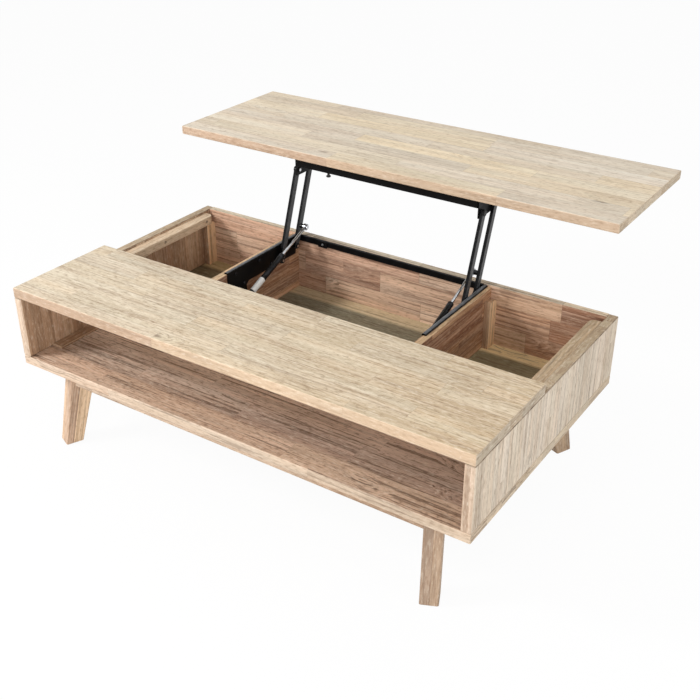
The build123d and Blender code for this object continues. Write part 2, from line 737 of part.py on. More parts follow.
# Top pivot pins: held in the brackets, with a keeper outside each arm
top_pin_length = arm_outer_x - bracket_inner_x + side_play
for name, spot in (("front_top_pins", front_top), ("rear_top_pins", rear_top)):
    with BuildPart() as top_pins:
        with Locations(*[along_x(hand, bracket_inner_x, spot) for _, hand in hands]):
            Cylinder(pin_diameter / 2, top_pin_length, align=(Align.CENTER, Align.CENTER, Align.MAX))
            Cylinder(pin_head_diameter / 2, pin_head_height, align=(Align.CENTER, Align.CENTER, Align.MIN))
        with Locations(*[along_x(hand, arm_outer_x + side_play, spot) for _, hand in hands]):
            Cylinder(pin_head_diameter / 2, tube_wall, align=(Align.CENTER, Align.CENTER, Align.MAX))
    save(top_pins, name)

# Upper cross tube: joins the brackets under the front edge of the lift top
upper_tube_y = front_top[0] - upper_tube_lead + upper_tube_depth / 2
upper_tube_low_z = lift_under_z - upper_tube_height
with BuildPart() as upper_cross_tube:
    with BuildSketch(Plane.YZ.offset(-bracket_inner_x)):
        with Locations((upper_tube_y, lift_under_z - upper_tube_height / 2)):
            RectangleRounded(upper_tube_depth, upper_tube_height, tube_wall)
            Rectangle(
                upper_tube_depth - 2 * tube_wall,
                upper_tube_height - 2 * tube_wall,
                mode=Mode.SUBTRACT,
            )
    extrude(amount=2 * bracket_inner_x)
save(upper_cross_tube, "upper_cross_tube")

# Buffer: a rubber mushroom under the upper tube
buffer_x = -bracket_inner_x + buffer_from_left
with BuildPart() as rubber_buffer:
    with Locations(facing_down(buffer_x, upper_tube_y, upper_tube_low_z)):
        Cylinder(buffer_stem_diameter / 2, buffer_height, align=(Align.CENTER, Align.CENTER, Align.MIN))
    with Locations(facing_down(buffer_x, upper_tube_y, upper_tube_low_z - buffer_height)):
        Cylinder(buffer_diameter / 2, buffer_cap_height, align=(Align.CENTER, Align.CENTER, Align.MAX))
save(rubber_buffer, "rubber_buffer")
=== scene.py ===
import math

import bmesh
import bpy
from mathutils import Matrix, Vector


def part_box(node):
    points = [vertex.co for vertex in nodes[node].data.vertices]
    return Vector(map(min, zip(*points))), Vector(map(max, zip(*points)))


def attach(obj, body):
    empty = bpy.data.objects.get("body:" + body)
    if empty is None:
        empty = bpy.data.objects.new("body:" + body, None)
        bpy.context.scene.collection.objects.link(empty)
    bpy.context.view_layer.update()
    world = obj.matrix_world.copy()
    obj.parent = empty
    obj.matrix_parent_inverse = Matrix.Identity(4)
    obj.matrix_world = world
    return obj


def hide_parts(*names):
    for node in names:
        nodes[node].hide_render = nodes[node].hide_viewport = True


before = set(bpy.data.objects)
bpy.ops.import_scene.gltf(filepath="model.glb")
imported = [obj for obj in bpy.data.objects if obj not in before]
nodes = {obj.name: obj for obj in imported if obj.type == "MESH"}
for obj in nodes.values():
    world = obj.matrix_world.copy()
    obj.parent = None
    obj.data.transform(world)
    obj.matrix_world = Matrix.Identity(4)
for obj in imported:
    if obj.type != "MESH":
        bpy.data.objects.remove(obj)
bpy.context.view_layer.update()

scene = bpy.context.scene


# Table top: the fixed front deck and the lift top, two boards of finger-glued hardwood staves that run
# along the table. The faces are wire-brushed and whitewashed, the edges are sanded and left plain.
def srgb(red, green, blue):
    """A colour as a picture gives it, 0 to 255, as the linear colour that a shader takes."""
    linear = [
        c / 12.92 if c <= 0.04045 else ((c + 0.055) / 1.055) ** 2.4
        for c in (red / 255, green / 255, blue / 255)
    ]
    return (*linear, 1.0)


def add(tree, kind, inputs=None, **fields):
    """One node with its fields set and its inputs fed, each from a socket or a plain value."""
    made = tree.nodes.new(kind)
    for field, value in fields.items():
        setattr(made, field, value)
    for key, value in (inputs or {}).items():
        if isinstance(value, bpy.types.NodeSocket):
            tree.links.new(value, made.inputs[key])
        else:
            made.inputs[key].default_value = value
    return made


def sums(tree, operation, *values):
    """A Math node's result, from sockets or plain values."""
    return add(tree, "ShaderNodeMath", dict(enumerate(values)), operation=operation).outputs[0]


def between(tree, value, low, high, start=0.0, end=1.0):
    """A value carried smoothly from start to end as it passes from low to high."""
    inputs = {0: value, 1: low, 2: high, 3: start, 4: end}
    return add(tree, "ShaderNodeMapRange", inputs, interpolation_type="SMOOTHSTEP").outputs[0]


def blend(tree, share, first, second, kind="MIX"):
    """Two colours mixed by a share."""
    inputs = {0: share, 6: first, 7: second}
    return add(tree, "ShaderNodeMix", inputs, data_type="RGBA", blend_type=kind).outputs[2]


def noise(tree, spot, scales, detail, rough=0.5):
    """Noise with its own scale, per metre, along each of three axes."""
    spot = add(tree, "ShaderNodeVectorMath", {0: spot, 1: scales}, operation="MULTIPLY").outputs[0]
    inputs = {"Vector": spot, "Scale": 1.0, "Detail": detail, "Roughness": rough}
    return add(tree, "ShaderNodeTexNoise", inputs).outputs["Fac"]


def shader_group(name, inputs, outputs):
    """A new shader group with named sockets: the tree, what it is given, and where its results go."""
    tree = bpy.data.node_groups.new(name, "ShaderNodeTree")
    kinds = {"value": "NodeSocketFloat", "vector": "NodeSocketVector"}
    for label, kind, default in inputs:
        socket = tree.interface.new_socket(label, in_out="INPUT", socket_type=kinds[kind])
        socket.default_value = default
    for label, kind in outputs:
        tree.interface.new_socket(label, in_out="OUTPUT", socket_type=kinds[kind])
    given = tree.nodes.new("NodeGroupInput").outputs
    result = tree.nodes.new("NodeGroupOutput").inputs
    return tree, given, result


def make_stave_group():
    """Splits a board into rows of staves: a random tone and shift for each, and the glue lines between."""
    tree, given, result = shader_group(
        "glued staves",
        [
            ("Along", "value", 0.0),
            ("Across", "value", 0.0),
            ("Stave Width", "value", 0.058),
            ("Stave Length", "value", 0.33),
            ("Seed", "value", 0.0),
            ("Glue Line", "value", 0.0006),
        ],
        [("Tone", "value"), ("Shift", "vector"), ("Joint", "value")],
    )
    rows = sums(tree, "ADD", sums(tree, "DIVIDE", given["Across"], given["Stave Width"]), given["Seed"])
    row = sums(tree, "FLOOR", rows)
    luck = add(tree, "ShaderNodeTexWhiteNoise", {"W": row}, noise_dimensions="1D").outputs["Value"]
    shortest, spread, row_shift = 0.7, 0.7, 9.7
    length = sums(tree, "MULTIPLY_ADD", luck, spread, shortest)
    length = sums(tree, "MULTIPLY", given["Stave Length"], length)
    places = sums(tree, "MULTIPLY_ADD", luck, row_shift, sums(tree, "DIVIDE", given["Along"], length))
    place = sums(tree, "FLOOR", places)
    stave = add(tree, "ShaderNodeCombineXYZ", {0: place, 1: row, 2: given["Seed"]}).outputs[0]
    chance = add(tree, "ShaderNodeTexWhiteNoise", {"Vector": stave}, noise_dimensions="3D").outputs
    gaps = []
    for spot, span in ((rows, given["Stave Width"]), (places, length)):
        middle = sums(tree, "ABSOLUTE", sums(tree, "SUBTRACT", sums(tree, "FRACT", spot), 0.5))
        gaps.append(sums(tree, "MULTIPLY", sums(tree, "SUBTRACT", 0.5, middle), span))
    near = sums(tree, "DIVIDE", sums(tree, "MINIMUM", gaps[0], gaps[1]), given["Glue Line"])
    tree.links.new(chance["Value"], result["Tone"])
    tree.links.new(chance["Color"], result["Shift"])
    line_core, line_rim = 0.4, 1.4
    tree.links.new(between(tree, near, line_core, line_rim, 1.0, 0.0), result["Joint"])
    return tree


def make_grain_group():
    """Grain of one stave: broad figure, streaks, dark lines and short flecks that bend round the knots."""
    tree, given, result = shader_group(
        "brushed grain",
        [
            ("Along", "value", 0.0),
            ("Across", "value", 0.0),
            ("Depth", "value", 0.0),
            ("Shift", "vector", (0.0, 0.0, 0.0)),
            ("Knot Chance", "value", 0.04),
        ],
        [(label, "value") for label in ("Figure", "Streaks", "Lines", "Flecks", "Knot", "Cloud", "Hue")],
    )
    stave_shift = (7.0, 1.9, 1.3)
    here = {0: given["Along"], 1: given["Across"], 2: given["Depth"]}
    here = add(tree, "ShaderNodeCombineXYZ", here).outputs[0]
    moved = {0: given["Shift"], 1: stave_shift, 2: here}
    moved = add(tree, "ShaderNodeVectorMath", moved, operation="MULTIPLY_ADD").outputs[0]

    knot_cells, rag_scale, rag_depth = (7.0, 17.0, 17.0), (30.0, 90.0, 90.0), 0.2
    knot_core, knot_rim, swirl_rim = 0.14, 0.26, 0.75
    cells = {0: moved, 1: knot_cells}
    cells = add(tree, "ShaderNodeVectorMath", cells, operation="MULTIPLY").outputs[0]
    knots = add(tree, "ShaderNodeTexVoronoi", {"Vector": cells, "Scale": 1.0}).outputs
    chosen = add(tree, "ShaderNodeSeparateColor", {0: knots["Color"]}).outputs[0]
    chosen = sums(tree, "LESS_THAN", chosen, given["Knot Chance"])
    ragged = noise(tree, moved, rag_scale, 3.0)
    ragged = sums(tree, "MULTIPLY_ADD", ragged, rag_depth, knots["Distance"])
    knot = sums(tree, "MULTIPLY", between(tree, ragged, knot_core, knot_rim, 1.0, 0.0), chosen)
    tree.links.new(knot, result["Knot"])
    swirl = sums(tree, "MULTIPLY", between(tree, knots["Distance"], 0.0, swirl_rim, 1.0, 0.0), chosen)

    wander_scale, wander_reach, swirl_reach = (2.2, 8.0, 8.0), 0.006, 0.03
    wander = sums(tree, "MULTIPLY", noise(tree, moved, wander_scale, 2.0), wander_reach)
    bend = sums(tree, "MULTIPLY_ADD", swirl, swirl_reach, wander)
    bent = add(tree, "ShaderNodeCombineXYZ", {1: bend, 2: bend}).outputs[0]
    bent = add(tree, "ShaderNodeVectorMath", {0: moved, 1: bent}, operation="ADD").outputs[0]

    figure_scale, streak_scale = (1.6, 38.0, 38.0), (6.0, 190.0, 190.0)
    line_scale, fleck_scale = (3.5, 145.0, 145.0), (60.0, 240.0, 240.0)
    cloud_scale, hue_scale = (4.0, 12.0, 12.0), (2.0, 30.0, 30.0)
    tree.links.new(noise(tree, bent, figure_scale, 3.0), result["Figure"])
    tree.links.new(noise(tree, bent, streak_scale, 3.0, 0.58), result["Streaks"])
    tree.links.new(between(tree, noise(tree, bent, line_scale, 2.0), 0.55, 0.63), result["Lines"])
    tree.links.new(noise(tree, bent, fleck_scale, 3.0, 0.62), result["Flecks"])
    tree.links.new(between(tree, noise(tree, moved, cloud_scale, 2.0), 0.35, 0.68), result["Cloud"])
    tree.links.new(between(tree, noise(tree, bent, hue_scale, 1.0), 0.3, 0.7), result["Hue"])
    return tree


def make_edge_group():
    """Marks rounded edges, where hands and cloths have worn a finish, in broken patches."""
    tree, given, result = shader_group(
        "worn edges",
        [
            ("Spot", "vector", (0.0, 0.0, 0.0)),
            ("Facing", "vector", (0.0, 0.0, 1.0)),
            ("Patches", "value", 40.0),
        ],
        [("Mask", "value")],
    )
    turned = add(tree, "ShaderNodeVectorMath", {0: given["Facing"]}, operation="ABSOLUTE").outputs[0]
    parts = add(tree, "ShaderNodeSeparateXYZ", {0: turned}).outputs
    most = sums(tree, "MAXIMUM", sums(tree, "MAXIMUM", parts[0], parts[1]), parts[2])
    rounded, level = 0.8, 0.985
    round_edge = between(tree, most, rounded, level, 1.0, 0.0)
    inputs = {"Vector": given["Spot"], "Scale": given["Patches"], "Detail": 3.0}
    patches = add(tree, "ShaderNodeTexNoise", inputs).outputs["Fac"]
    worn = sums(tree, "MULTIPLY", round_edge, between(tree, patches, 0.35, 0.6))
    tree.links.new(worn, result["Mask"])
    return tree


stave_group = make_stave_group()
grain_group = make_grain_group()
edge_group = make_edge_group()


def new_material(name):
    """An empty material: its tree, its shader, and the coordinates that its patterns read."""
    material = bpy.data.materials.new(name)
    material.use_nodes = True
    tree = material.node_tree
    spots = add(tree, "ShaderNodeTexCoord").outputs
    return material, tree, tree.nodes["Principled BSDF"], spots


def feed(tree, shader, colour, rough, height, strength, depth):
    """Gives a shader its colour, its roughness and a raised grain, whose depth is in metres."""
    tree.links.new(colour, shader.inputs["Base Color"])
    tree.links.new(rough, shader.inputs["Roughness"])
    bump = add(tree, "ShaderNodeBump", {"Strength": strength, "Distance": depth, "Height": height})
    tree.links.new(bump.outputs[0], shader.inputs["Normal"])


def ramp(tree, value, stops):
    """A colour read off a row of colours, from (place, colour) pairs or from evenly spaced colours."""
    if len(stops[0]) == 3:
        stops = [(index / (len(stops) - 1), tone) for index, tone in enumerate(stops)]
    made = add(tree, "ShaderNodeValToRGB", {0: value})
    marks = made.color_ramp.elements
    for index, (spot, tone) in enumerate(stops):
        mark = marks[index] if index < 2 else marks.new(spot)
        mark.position = spot
        mark.color = srgb(*tone)
    return made.outputs[0]


def wood(name, lay, tones, seed, **look):
    """A board's finish. lay gives the axes along, across and through its staves; tones are their colours.

    skins are (where, tones): edge and end are faces across the width and the length of the staves, inner is
    the face towards the middle of the table, rear the one that looks to the back. calm is the share of the
    grain that such a face keeps. wash is (colour, share) of a pale stain on the broad faces. strips are
    (axis, reach, colours) of tints from strip to strip, with an (axis, place) added where a tint lies only
    past that place. The seam entries are (axis, place) of painted shade: dark lines where the board meets
    other boards, standing for the shade in the joint. smooth is (axis, place, share) of the grain past that
    place.
    """
    look = {
        "width": 0.052, "length": 0.42, "joint": 0.2, "knots": 0.04,
        "figure": 0.09, "grain": 0.42, "lines": 0.4, "pores": 0.36, "specks": 0.25,
        "dark": (122, 92, 68), "pale": (244, 234, 216), "grey": 0.25, "warm": 0.2, "wear": 0.35,
        "skins": (), "calm": {"rear": 0.45}, "wash": None, "strips": (), "seams": (), "smooth": None,
    } | look
    material, tree, shader, spots = new_material(name)
    place = add(tree, "ShaderNodeSeparateXYZ", {0: spots["Object"]}).outputs
    normal = add(tree, "ShaderNodeSeparateXYZ", {0: spots["Normal"]}).outputs
    along, across, depth = lay(tree, place) if callable(lay) else (place[axis] for axis in lay)
    rows, row = (across, depth) if callable(lay) else (along, across)
    staves = {"Along": rows, "Across": row, "Stave Width": look["width"], "Stave Length": look["length"]}
    staves = add(tree, "ShaderNodeGroup", staves | {"Seed": seed}, node_tree=stave_group).outputs
    if isinstance(lay, str):
        ends = between(tree, sums(tree, "ABSOLUTE", normal[lay[0]]), 0.6, 0.9)
        run = add(tree, "ShaderNodeMix", {0: ends, 2: along, 3: across}).outputs[0]
        along, across = run, add(tree, "ShaderNodeMix", {0: ends, 2: across, 3: along}).outputs[0]
    grain = {"Along": along, "Across": across, "Depth": depth, "Shift": staves["Shift"]}
    grain |= {"Knot Chance": look["knots"]}
    grain = add(tree, "ShaderNodeGroup", grain, node_tree=grain_group).outputs

    colour = ramp(tree, staves["Tone"], tones)
    change = 0.005
    for axis, (low, high), tints, *border in look["strips"]:
        share = add(tree, "ShaderNodeMapRange", {0: place[axis], 1: low, 2: high}).outputs[0]
        past = 1.0
        for other, start in border:
            past = between(tree, place[other], start, start + change)
        colour = blend(tree, past, colour, ramp(tree, share, tints), "MULTIPLY")
    broad = None
    contrast = 1.0
    partly, fully = 0.45, 0.8
    if look["smooth"]:
        axis, start, share = look["smooth"]
        contrast = between(tree, place[axis], start, start + change, 1.0, share)
    for where, skin in look["skins"]:
        if where == "inner":
            side = sums(tree, "MULTIPLY", normal["X"], sums(tree, "SIGN", place["X"]))
            turned = between(tree, side, -fully, -partly, 1.0, 0.0)
        elif where == "rear":
            turned = between(tree, normal["Y"], partly, fully)
        else:
            axis = {"edge": lay[1], "end": lay[0]}[where]
            turned = between(tree, sums(tree, "ABSOLUTE", normal[axis]), partly, fully)
        colour = blend(tree, turned, colour, ramp(tree, staves["Tone"], skin))
        if where in look["calm"]:
            softer = sums(tree, "MULTIPLY_ADD", turned, look["calm"][where] - 1, 1.0)
            contrast = sums(tree, "MULTIPLY", contrast, softer)
        rest = sums(tree, "SUBTRACT", 1.0, turned)
        broad = rest if broad is None else sums(tree, "MULTIPLY", broad, rest)
    if look["wash"]:
        pale, share = look["wash"]
        thinnest = 0.3
        thin = between(tree, grain["Streaks"], 0.4, 0.62, share * thinnest, share)
        thin = thin if broad is None else sums(tree, "MULTIPLY", thin, broad)
        colour = blend(tree, thin, colour, srgb(*pale))

    middle = 1 - look["figure"] - look["grain"]
    swing = sums(tree, "MULTIPLY_ADD", grain["Figure"], 2 * look["figure"], middle)
    swing = sums(tree, "MULTIPLY_ADD", grain["Streaks"], 2 * look["grain"], swing)
    colour = blend(tree, contrast, colour, swing, "MULTIPLY")
    weathered, ruddy = (198, 192, 182), (255, 224, 196)
    for patches, share, tint in (
        (grain["Cloud"], look["grey"], weathered),
        (grain["Hue"], look["warm"], ruddy),
    ):
        colour = blend(tree, sums(tree, "MULTIPLY", patches, share), colour, srgb(*tint), "MULTIPLY")
    knot_brown, knot_share = (112, 92, 76), 0.7
    pores = between(tree, grain["Flecks"], 0.32, 0.48, 1.0, 0.0)
    for mark, share, tone in (
        (grain["Lines"], look["lines"], look["dark"]),
        (pores, look["pores"], look["dark"]),
        (between(tree, grain["Flecks"], 0.53, 0.68), look["specks"], look["pale"]),
        (grain["Knot"], knot_share, knot_brown),
        (staves["Joint"], look["joint"], look["dark"]),
    ):
        share = sums(tree, "MULTIPLY", contrast, share)
        colour = blend(tree, sums(tree, "MULTIPLY", mark, share), colour, srgb(*tone))
    # Painted shade: a dark line along each seam where the board meets another, standing for the shade in the
    # joint.
    seam_shade_brown, seam_shade_share, seam_core, seam_rim = (78, 60, 46), 0.85, 0.0006, 0.0026
    for axis, level in look["seams"]:
        away = sums(tree, "ABSOLUTE", sums(tree, "SUBTRACT", place[axis], level))
        upright = between(tree, sums(tree, "ABSOLUTE", normal[axis]), 0.85, 0.97, seam_shade_share, 0.0)
        seam_shade_mask = sums(tree, "MULTIPLY", upright, between(tree, away, seam_core, seam_rim, 1.0, 0.0))
        colour = blend(tree, seam_shade_mask, colour, srgb(*seam_shade_brown))
    if isinstance(lay, str):
        bare_wood = (238, 214, 186)
        worn = {"Spot": spots["Object"], "Facing": spots["Normal"]}
        worn = add(tree, "ShaderNodeGroup", worn, node_tree=edge_group).outputs["Mask"]
        colour = blend(tree, sums(tree, "MULTIPLY", worn, look["wear"]), colour, srgb(*bare_wood))

    smoothest, pore_rough, streak_rough = 0.5, 0.2, 0.12
    rough = sums(tree, "MULTIPLY_ADD", pores, pore_rough, smoothest)
    rough = sums(tree, "MULTIPLY_ADD", grain["Streaks"], streak_rough, rough)
    joint_depth, streak_height = 1.5, 0.8
    low = sums(tree, "ADD", pores, sums(tree, "MULTIPLY", staves["Joint"], joint_depth))
    low = sums(tree, "ADD", low, grain["Lines"])
    height = sums(tree, "SUBTRACT", sums(tree, "MULTIPLY", grain["Streaks"], streak_height), low)
    feed(tree, shader, colour, rough, height, strength=0.4, depth=0.0005)
    shader.inputs["Specular IOR Level"].default_value = 0.3
    return material


def dress(material, *names):
    """Gives CAD nodes one finish."""
    for name in names:
        for slot in nodes[name].material_slots:
            slot.link = "OBJECT"
            slot.material = material


top_tones = [
    (230, 217, 191), (220, 208, 188), (211, 200, 184), (233, 217, 184), (206, 193, 173), (224, 214, 197),
]
edge_tan = [(198, 172, 148), (188, 164, 142), (200, 178, 154), (186, 162, 138)]
end_grey = [(212, 196, 171), (198, 180, 156), (206, 191, 168), (191, 173, 148)]
lift_wood = wood(
    "lift_top_wood", "XYZ", top_tones, 3.0, wash=((228, 219, 204), 0.22), knots=0.05, grain=0.22, lines=0.2,
    pores=0.3, specks=0.2, skins=[("edge", edge_tan), ("end", end_grey)],
)
dress(lift_wood, "lift_top_panel")
# Painted shade: the deck's tones sit a little below the lift top's, and the deck is painted darker towards
# its right end, for light falling off away from the lamp on the left.
deck_tones = [
    (214, 200, 175), (209, 193, 165), (207, 194, 172), (216, 199, 170), (204, 187, 159), (211, 198, 177),
]
deck_edge = [(194, 168, 142), (180, 156, 134), (198, 176, 150), (182, 156, 130)]
deck_end = [(193, 178, 155), (180, 163, 142), (187, 174, 153), (174, 157, 134)]
deck_painted_falloff = [(0.0, (255, 255, 255)), (0.5, (255, 254, 252)), (1.0, (246, 238, 226))]
deck_low, deck_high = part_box("front_deck")
# Painted shade: a dark line along the bottom of the deck's edge faces, where it meets the boards below.
deck_wood = wood(
    "deck_wood", "XYZ", deck_tones, 3.0, wash=((218, 209, 192), 0.4), knots=0.03, grain=0.28, lines=0.33,
    pores=0.42, specks=0.34, strips=[("X", (deck_low[0], deck_high[0]), deck_painted_falloff)],
    skins=[("edge", deck_edge), ("end", deck_end)], calm={"edge": 0.6}, seams=[("Z", deck_low[2])],
)
dress(deck_wood, "front_deck")

# Bottom panel: the same glued staves under the whole carcass, dowelled to the uprights. Its top is the floor
# of the niche and of the bins, oiled brown and darkest in the left bin, with a pale front stave and a pale
# strip along the back.
front_y = deck_low[1]
back_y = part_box("back_panel")[1][1]
bins_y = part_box("niche_partition")[1][1]
floor_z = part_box("bottom_panel")[1][2]
floor_tones = [(241, 220, 201), (231, 207, 188), (246, 224, 204), (225, 201, 183), (238, 215, 196)]
# Painted light: behind the pale front stave the niche floor is painted brighter towards the back, against the
# shade under the deck. The bins' floor gets a darker, greyer tint, and the strip along the back is pale.
floor_tints_and_painted_light = [
    (0.0, (216, 207, 199)), (0.085, (216, 207, 199)), (0.1, (188, 181, 178)), (0.4, (266, 273, 278)),
    (0.44, (145, 149, 135)), (0.9, (145, 149, 135)), (0.915, (238, 236, 210)), (1.0, (238, 236, 210)),
]
bins_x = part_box("left_divider")[0][0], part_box("right_divider")[1][0]
bin_tints = [
    (0.0, (230, 230, 215)), (0.03, (246, 252, 255)), (0.97, (246, 252, 255)), (1.0, (306, 318, 310)),
]
plain_edge = [(202, 179, 157), (192, 171, 151), (204, 185, 163), (190, 169, 147)]
floor_wood = wood(
    "floor_wood", "XYZ", floor_tones, 11.0, width=0.062, knots=0.08, lines=0.65, figure=0.26, grain=0.5,
    pores=0.55, specks=0.25, dark=(88, 64, 48), smooth=("Y", bins_y, 0.55),
    strips=[("Y", (front_y, back_y), floor_tints_and_painted_light), ("X", bins_x, bin_tints, ("Y", bins_y))],
    skins=[("edge", plain_edge), ("end", end_grey)], calm={"edge": 0.6, "end": 0.8},
)
dress(floor_wood, "bottom_panel")

# Side panels: staves set upright between bottom and top, whitewashed outside and left raw inside. They stand
# on the bottom panel, flush with its ends, and the deck lies on them.
side_tones = [(216, 202, 182), (210, 194, 172), (220, 206, 188), (206, 192, 172)]
side_top_tones = [(186, 168, 142), (174, 156, 130)]
side_inner_tones = [(195, 166, 139), (159, 128, 102), (212, 185, 156), (176, 145, 120)]
# Painted shade: dark lines along the sides' faces where the bottom panel and the deck meet them.
side_wood = wood(
    "side_wood", "ZYX", side_tones, 5.0, width=0.03, length=0.9, grain=0.3, wash=((224, 214, 198), 0.4),
    skins=[("edge", plain_edge), ("end", side_top_tones), ("inner", side_inner_tones)],
    seams=[("Z", floor_z), ("Z", deck_low[2])],
)
dress(side_wood, "left_side_panel", "right_side_panel")

# Back panel and niche partition: raw staves laid along the table, let in between the side panels. Their
# colour changes strongly from stave to stave, with dark reddish lines.
raw_tones = [(216, 182, 156), (172, 130, 106), (226, 198, 172), (150, 108, 88), (204, 168, 144)]
raw_look = {
    "length": 0.3, "joint": 0.4, "knots": 0.07, "figure": 0.4, "grain": 0.45, "lines": 0.55, "warm": 0.3,
    "dark": (104, 70, 52), "pale": (232, 206, 180), "wash": ((232, 208, 186), 0.3),
}
back_left_x, back_right_x = (corner[0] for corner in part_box("back_panel"))
back_tones = [(240, 204, 176), (194, 148, 122), (248, 220, 193), (170, 125, 102), (227, 189, 162)]
back_strips = [
    (0.0, (255, 255, 255)), (0.24, (255, 255, 255)), (0.28, (238, 238, 238)), (0.74, (238, 238, 238)),
    (0.78, (214, 202, 188)), (1.0, (214, 202, 188)),
]
back_wood = wood(
    "back_wood", "XZY", back_tones, 7.0, width=0.055,
    strips=[("X", (back_left_x, back_right_x), back_strips)],
    skins=[("edge", [(222, 212, 192), (208, 196, 174)]), ("rear", side_tones)], **raw_look,
)
dress(back_wood, "back_panel")
partition_wood = wood("partition_wood", "XZY", back_tones, 9.0, width=0.055, **raw_look)
dress(partition_wood, "niche_partition")

# Dividers: raw boards that part the well into three bins and carry the lift hardware. Their top stave and
# their lowest stave are paler.
divider_top_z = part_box("left_divider")[1][2]
divider_strips = [
    (0.0, (240, 222, 198)), (0.1, (240, 222, 198)), (0.12, (182, 155, 123)), (0.55, (182, 155, 123)),
    (0.6, (206, 182, 148)), (1.0, (220, 198, 168)),
]
divider_wood = wood(
    "divider_wood", "YZX", raw_tones, 2.0, width=0.06,
    strips=[("Z", (floor_z, divider_top_z), divider_strips)],
    skins=[("edge", [(208, 180, 144), (196, 166, 130)])], **raw_look,
)
dress(divider_wood, "left_divider", "right_divider")

# Cleats, niche battens and posts: planed sticks of one stave each. Cleats run along the side panels under
# the lift top, battens lie on the niche floor, posts stiffen the back corners of the outer bins.
stick_width, stick_length = 0.5, 2.0
cleat_tones = [(192, 170, 141), (182, 160, 131)]
cleat_wood = wood(
    "cleat_wood", "YXZ", cleat_tones, 1.0, width=stick_width, length=stick_length, grain=0.6, lines=0.7,
    figure=0.25, knots=0.3, dark=(116, 98, 76),
)
dress(cleat_wood, "right_top_cleat")
pale_cleat_tones = [(218, 195, 167), (208, 185, 157)]
pale_cleat_wood = wood(
    "pale_cleat_wood", "YXZ", pale_cleat_tones, 1.0, width=stick_width, length=stick_length,
)
dress(pale_cleat_wood, "left_top_cleat")
batten_tones = [(178, 150, 124), (166, 138, 112)]
batten_wood = wood(
    "batten_wood", "YXZ", batten_tones, 1.0, width=stick_width, length=stick_length, grain=0.6, lines=0.7,
)
dress(batten_wood, "left_niche_batten", "right_niche_batten")
# Painted light: the posts' sides that look along X get paler tones than their fronts, a lit side painted into
# the colour.
post_tones = [(206, 176, 144), (182, 148, 120)]
post_lit_side = [(244, 212, 172), (234, 200, 160)]
post_wood = wood(
    "post_wood", "ZXY", post_tones, 1.0, width=0.012, length=stick_length, grain=0.3, lines=0.5,
    skins=[("edge", post_lit_side)],
)
dress(post_wood, "left_corner_post", "right_corner_post", "left_divider_post", "right_divider_post")

# Legs and leg rails: tapered legs glued up from three lamellas that follow their splay, and plain bars
# between them. The legs are bolted into threaded inserts in the bottom panel, and the rails are dowelled
# under it.
leg_turn = math.radians(24)
leg_slant = 0.2432
carcass_mid_y = (front_y + back_y) / 2


def leg_lay(tree, place):
    """Places on a leg along it, across its broad side and through it, the same for all four corners."""
    out_x = sums(tree, "ABSOLUTE", place["X"])
    out_y = sums(tree, "ABSOLUTE", sums(tree, "SUBTRACT", place["Y"], carcass_mid_y))
    lean = sums(tree, "MULTIPLY", out_y, math.cos(leg_turn))
    lean = sums(tree, "MULTIPLY_ADD", out_x, math.sin(leg_turn), lean)
    across = sums(tree, "MULTIPLY_ADD", place["Z"], leg_slant, lean)
    depth = sums(tree, "MULTIPLY", out_y, -math.sin(leg_turn))
    depth = sums(tree, "MULTIPLY_ADD", out_x, math.cos(leg_turn), depth)
    return place["Z"], across, depth


leg_tones = [(173, 151, 130), (148, 125, 106), (196, 172, 142), (159, 136, 117), (185, 159, 132)]
leg_look = {"width": 0.024, "length": 0.034, "joint": 0.35, "warm": 0.05, "figure": 0.16, "specks": 0.15}
leg_wood = wood("leg_wood", leg_lay, leg_tones, 2.0, **leg_look)
dress(leg_wood, "front_right_leg", "back_left_leg", "back_right_leg")
pale_leg_tones = [(213, 185, 159), (180, 150, 127), (242, 212, 174), (196, 166, 142), (229, 196, 161)]
pale_leg_wood = wood("pale_leg_wood", leg_lay, pale_leg_tones, 2.0, **leg_look)
dress(pale_leg_wood, "front_left_leg")
rail_tones = [(218, 197, 176), (208, 187, 166), (224, 203, 182)]
rail_fade = [(0.0, (255, 255, 255)), (0.6, (252, 248, 244)), (0.8, (222, 212, 204)), (1.0, (222, 212, 204))]
rail_left_x, rail_right_x = (corner[0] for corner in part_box("front_leg_rail"))
rail_wood = wood(
    "rail_wood", "XZY", rail_tones, 4.0, width=0.09, length=0.3,
    strips=[("X", (rail_left_x, rail_right_x), rail_fade)],
)
dress(rail_wood, "front_leg_rail", "back_leg_rail")

# Dowels: plain beech pegs, cut from turned rod and glued blind into both boards. They set the uprights on
# the bottom panel, the deck on the uprights, and the legs and rails under the bottom panel.
dowel_tones = [(222, 194, 152), (214, 184, 140)]
dowel_wood = wood("dowel_wood", "ZXY", dowel_tones, 2.0, width=stick_width, length=stick_length, knots=0.0)
dress(dowel_wood, "leg_dowels", "rail_dowels", "upright_dowels", "deck_dowels")

# Foot glides: round pads of pressed grey felt, punched from sheet and glued under the legs, so that the table
# slides without marking the floor.
felt, tree, shader, spots = new_material("pressed_felt")
fibre_scale, tuft_scale = 900.0, 160.0
fibres = noise(tree, spots["Object"], [fibre_scale] * 3, 4.0, 0.7)
tufts = noise(tree, spots["Object"], [tuft_scale] * 3, 2.0)
tone = blend(tree, fibres, srgb(112, 100, 88), srgb(160, 148, 132))
tone = blend(tree, between(tree, tufts, 0.4, 0.7, 0.0, 0.4), tone, srgb(96, 86, 76))
fuzz = sums(tree, "MULTIPLY_ADD", fibres, 0.15, 0.82)
feed(tree, shader, tone, fuzz, fibres, strength=0.6, depth=0.0006)
dress(felt, "foot_glides")

